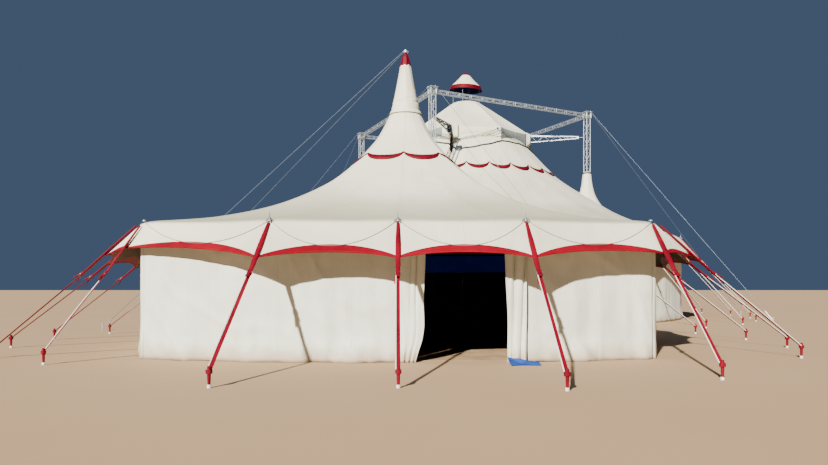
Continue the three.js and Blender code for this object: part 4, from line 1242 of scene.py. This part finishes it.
def hoodColumn(k, share):
    edge, bow, brim = hoodEdge(k, share)
    out = onGround(edge) - middle
    radius, way = out.length, out.normalized()
    points = [middle + way * (hood["start"] - 0.07) + up * (hood["crown"] - 0.022),
              middle + way * (hood["start"] - 0.035) + up * (hood["crown"] - 0.004)]
    for r in range(facetRows + 1):
        t = r / facetRows
        z = mix(hood["crown"], edge.z, t) - hood["sag"] * bow * sin(pi * t) - 0.02 * (1 - t) ** 12
        points.append(middle + way * mix(hood["start"], radius, t) + up * z)
    foot = onBigRoof(edge, 0.02).z
    for t in (r / bandRows for r in range(1, bandRows + 1)):
        points.append(Vector((edge.x, edge.y, mix(edge.z, foot, t))) + way * (0.03 * sin(pi * t) * bow))
    for t in (r / brimRows for r in range(1, brimRows + 1)):
        points.append(onBigRoof(middle + way * mix(radius, brim, t), mix(0.02, 0.012, t)))
    return points


def armHood():
    perSide, bandStart = hood["columns"], facetRows + 2
    shares = [c / perSide - 1 for c in range(2 * perSide)] * 4
    count = len(shares)
    columns = [hoodColumn(c // (2 * perSide), share) for c, share in enumerate(shares)]
    rows = [[column[r] for column in columns] for r in range(len(columns[0]))]
    downs = [[0.0] * count]
    for before, row in zip(rows, rows[1:]):
        downs.append([downs[-1][c] + (row[c] - before[c]).length for c in range(count)])

    def mouth(r, c, point):
        half = abs(shares[c] + 0.5 / perSide) * hood["cornerRadius"] * 0.78
        return half < hood["mouth"] and bandStart <= r <= bandStart + bandRows

    # painted shade: the band on one side of each arm takes the darker grey-green canvas (slot 2)
    def mesh(r, c):
        return bandStart <= r < bandStart + bandRows and shares[c] < 0

    def panelWidth(r, c):
        return max(0.05, (rows[r][(c + 1) % count] - rows[r][c - 1]).length * 4)

    sheet = cloth("armHood", rows, [roofCanvas, paintedShadeLining, shadedBandCanvas, paintedShadeLining], "roof_canvas",
                  ["arm_boot_" + name for name in mastNames], 0.006, loop=True, hole=mouth, second=mesh,
                  crease=40, panel=lambda r, c: c / 8, panelWidth=panelWidth, down=lambda r, c: downs[r][c])
    print("hood area", round(flatArea(rows, True), 1))
    # painted shade: a thick dark cord along the brim's edge stands in for the dark gap under the hood's edge
    loop = [point + up * 0.004 for point in rows[-1]]
    return sheet, cordPiece("hoodRope", loop + loop[:1], 0.044, paintedShadeCord, "roof_canvas")


def gatheredEnd(k, angle):  # rings of the sleeve that closes round an arm; the front one is tighter
    mouth = ({"reach": 0.11, "wide": 0.42, "end": 0.13, "low": 9.12} if k == 0 else
             {"reach": 0.13, "wide": 0.37, "end": 0.17, "low": 9.06})
    rings = []
    for t in (r / 8 for r in range(9)):
        reach = mix(armRoot - 0.05, armRoot + mouth["reach"], t)
        wide = mix(mouth["wide"], mouth["end"], t ** 0.6)
        high, low, power = mix(9.61, 9.52, t), mix(8.86, mouth["low"], t), mix(0.25, 0.5, t)
        ring = []
        for turn in (2 * pi * (j + 0.5) / 48 for j in range(48)):
            gather = 1 + 0.05 * sin(10 * turn) * t
            z = (high + low) / 2 + squared(sin(turn), power) * (high - low) / 2 * gather
            ring.append(besideArm(angle, reach, squared(cos(turn), power) * wide * gather, z))
        rings.append(ring)
    return rings


def mouthFlaps():
    flaps, shadowStrips, plates, rods, patches = Heap(), Heap(), Heap(), Heap(), Heap()
    for k, angle in enumerate(mastAngles):
        across = up.cross(toward(angle))
        flaps.grid(gatheredEnd(k, angle), loop=True)
        # painted shadow: a dark strip from the mouth down the roof, where a shadow falls
        strip = [besideArm(angle, armRoot + out, offset, z)
                 for out, offset, z in ((0.125, 0.05, 9.44), (0.12, 0.08, 9.2), (0.09, 0.12, 8.95))]
        strip += [onBigRoof(besideArm(angle, armRoot + 0.10 + 0.09 * r, 0.12 + 0.022 * r, 0), 0.03)
                  for r in range(1, 8)]
        shadowStrips.band(strip, [(0.10, 0.02)] * len(strip), toward(angle) + up * 0.5, 4)
        # the plate that holds the brim down, with two rods to the roof
        edge, _, brim = hoodEdge(k, 0.2)
        out = (onGround(edge) - middle).normalized()
        place = onBigRoof(middle + out * brim, 0.05)
        plates.block(place, (0.34, 0.30, 0.09), Matrix.Rotation(angle, 3, "Z") @ Matrix.Rotation(0.8, 3, "Y"))
        plates.tube([place - across * 0.2, place + across * 0.2], 0.03)
        for turn in (-0.10, 0.07):
            end = onBigRoof(middle + out * (brim + 0.95) + across * (turn - 0.22), 0.05)
            rods.tube([place + across * turn, end], 0.016)
            rods.tube([end, end - up * 0.05], 0.035)
        # the corner patch with its eyelet
        corner, top = hoodCorner(k), hood["cornerTop"]
        way = toward(corner)
        side, base = up.cross(way), bigPolar(hood["cornerRadius"] + 0.02, corner)
        patches.grid([[base - side * (0.30 * c / 6) - way * (0.11 * c / 6) + way * (0.02 * sin(3 * r))
                       + up * mix(top + 0.03, top - 0.50, r / 6) for c in range(7)] for r in range(7)])
        spot = base - side * 0.2 - way * 0.05 + up * (top - 0.07)
        plates.tube([spot, spot + way * 0.04 - side * 0.015], 0.04, 12)
    flap = flaps.piece("mouthFlaps", [wallCanvas, paintedShadeLining], "roof_canvas", crease=50)
    patch = patches.piece("cornerPatches", [wallCanvas], "roof_canvas", crease=50)
    shadowStrip = shadowStrips.piece("mouthShadowStrip", [paintedShadeCord], "roof_canvas")
    plates.piece("brimPlates", [darkSteelAndShade], "galvanised_steel")
    rods.piece("brimRods", [galvanised], "galvanised_steel")
    return [thickened(flap, 0.004, 0.0), thickened(patch, 0.012, 0.0), shadowStrip]


liftingCross()
hoodSheet, hoodRope = armHood()
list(mouthFlaps())


# The cap over the crown

def capPart(name, profile, material, slot, node, thickness):
    def clothPoint(angle, t):
        radius, z = profile(t)
        out = toward(angle, radius)
        return middle + out + up * (z + capFall.dot(out))

    rows = [[clothPoint(angle, r / 12) for angle in turns(72)] for r in range(13)]
    sheet = cloth(name, rows, [material, navyLining], slot, [node], thickness, loop=True,
                  panel=lambda r, c: c / 72 * 12, panelWidth=0.35, down=lambda r, c: r / 12)


capPart("capCone", lambda t: (mix(0.2, 0.81, t), mix(13.05, 12.42, t) - 0.03 * sin(pi * t)),
        roofCanvas, "roof_canvas", "cap_cone", 0.005)
capPart("capSkirt", lambda t: (mix(0.806, 0.885, t), mix(12.43, 12.20, t)),
        trimRed, "red_canvas", "cap_skirt", 0.005)
capPart("capTip", lambda t: (mix(0.004, 0.222, t ** 0.8), mix(13.20, 13.045, t ** 1.5)),
        trimRed, "red_canvas", "cap_tip", 0.004)
print("cap made")


# The link between the tents and the steel that stays as it is in the solids

def linkTunnel():
    left, right, height = doorway["left"] - 0.03, doorway["right"] + 0.03, 2.125
    inner = range(1, 12)
    outline = [(left, 0.004)] + [(left, height * k / 12) for k in inner] + [(left + 0.05, height - 0.03)]
    outline += [(mix(left, right, k / 12), height) for k in inner] + [(right - 0.05, height - 0.03)]
    outline += [(right, height * (12 - k) / 12) for k in inner] + [(right, 0.004)]
    low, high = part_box("link_tunnel")
    start, end = low.y + 0.002, high.y - 0.012

    def clothPoint(x, z, t):
        y, bulge = mix(start, end, t), sin(pi * t)
        inward = 0.012 * bulge * uneven(x, y * 2, z * 2)
        return Vector((x + inward, y, z - (0.02 * bulge if z > 2.1 else 0.0)))

    rows = [[clothPoint(x, z, r / 12) for x, z in outline] for r in range(13)]
    sheet = cloth("linkTunnel", rows, [wallCanvas, paintedShadeLining], "wall_canvas", ["link_tunnel"],
                  0.004, 0.0, crease=50, panelWidth=1.0, down=lambda r, c: rows[r][c].y)


linkTunnel()
for name in ("foyer_side_poles_front", "foyer_side_poles_back", "big_side_poles_front",
             "big_side_poles_back", "foyer_mast"):
    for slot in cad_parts[name].material_slots:
        slot.material = galvanised
print("link made")


# Floor, light and camera

def floorPaint():
    paint = Paint("pale floor")
    place = paint.place()
    grain = paint.noise(place, 26.0, 3.0)
    cloud = paint.noise(place, 0.35, 3.0, 0.5)
    colour = paint.mix(cloud * 0.6 + grain * 0.4, tone(150, 121, 88), tone(164, 136, 102))
    return paint.done(colour, 0.9, paint.bump(grain, 0.15, 0.01))


floorMesh = bpy.data.meshes.new("floor")
reach = 400
floorMesh.from_pydata([(-reach, -reach, 0), (reach, -reach, 0), (reach, reach, 0), (-reach, reach, 0)],
                      [], [(0, 1, 2, 3)])
floorMesh.materials.append(floorPaint())
ground = bpy.data.objects.new("floor", floorMesh)
scene.collection.objects.link(ground)

lighting = {"sunWay": Vector((0.36, 0.79, -0.48)), "sunStrength": 14.5, "sunAngle": 1.4,
            "sunColour": (1.0, 0.965, 0.90), "sky": tone(122, 148, 190), "skyStrength": 0.30}
sun = bpy.data.lights.new("key light", "SUN")
sun.energy = lighting["sunStrength"]
sun.angle = radians(lighting["sunAngle"])
sun.color = lighting["sunColour"]
sunObject = bpy.data.objects.new("key light", sun)
sunObject.rotation_euler = lighting["sunWay"].to_track_quat("-Z", "Y").to_euler()
scene.collection.objects.link(sunObject)
scene.world = bpy.data.worlds.new("studio")
scene.world.use_nodes = True
sky = scene.world.node_tree.nodes["Background"].inputs
sky["Color"].default_value = lighting["sky"]
sky["Strength"].default_value = lighting["skyStrength"]

eye = {"place": (0.235, -17.6, 1.45), "lens": 27.39, "frame": 36, "raise": 55.5 / 828, "far": 2000}
camera = bpy.data.cameras.new("camera")
camera.lens = eye["lens"]
camera.sensor_width = eye["frame"]
camera.shift_y = eye["raise"]
camera.clip_end = eye["far"]
cameraObject = bpy.data.objects.new("camera", camera)
cameraObject.location = eye["place"]
cameraObject.rotation_euler = (radians(90), 0, 0)
scene.collection.objects.link(cameraObject)
scene.camera = cameraObject
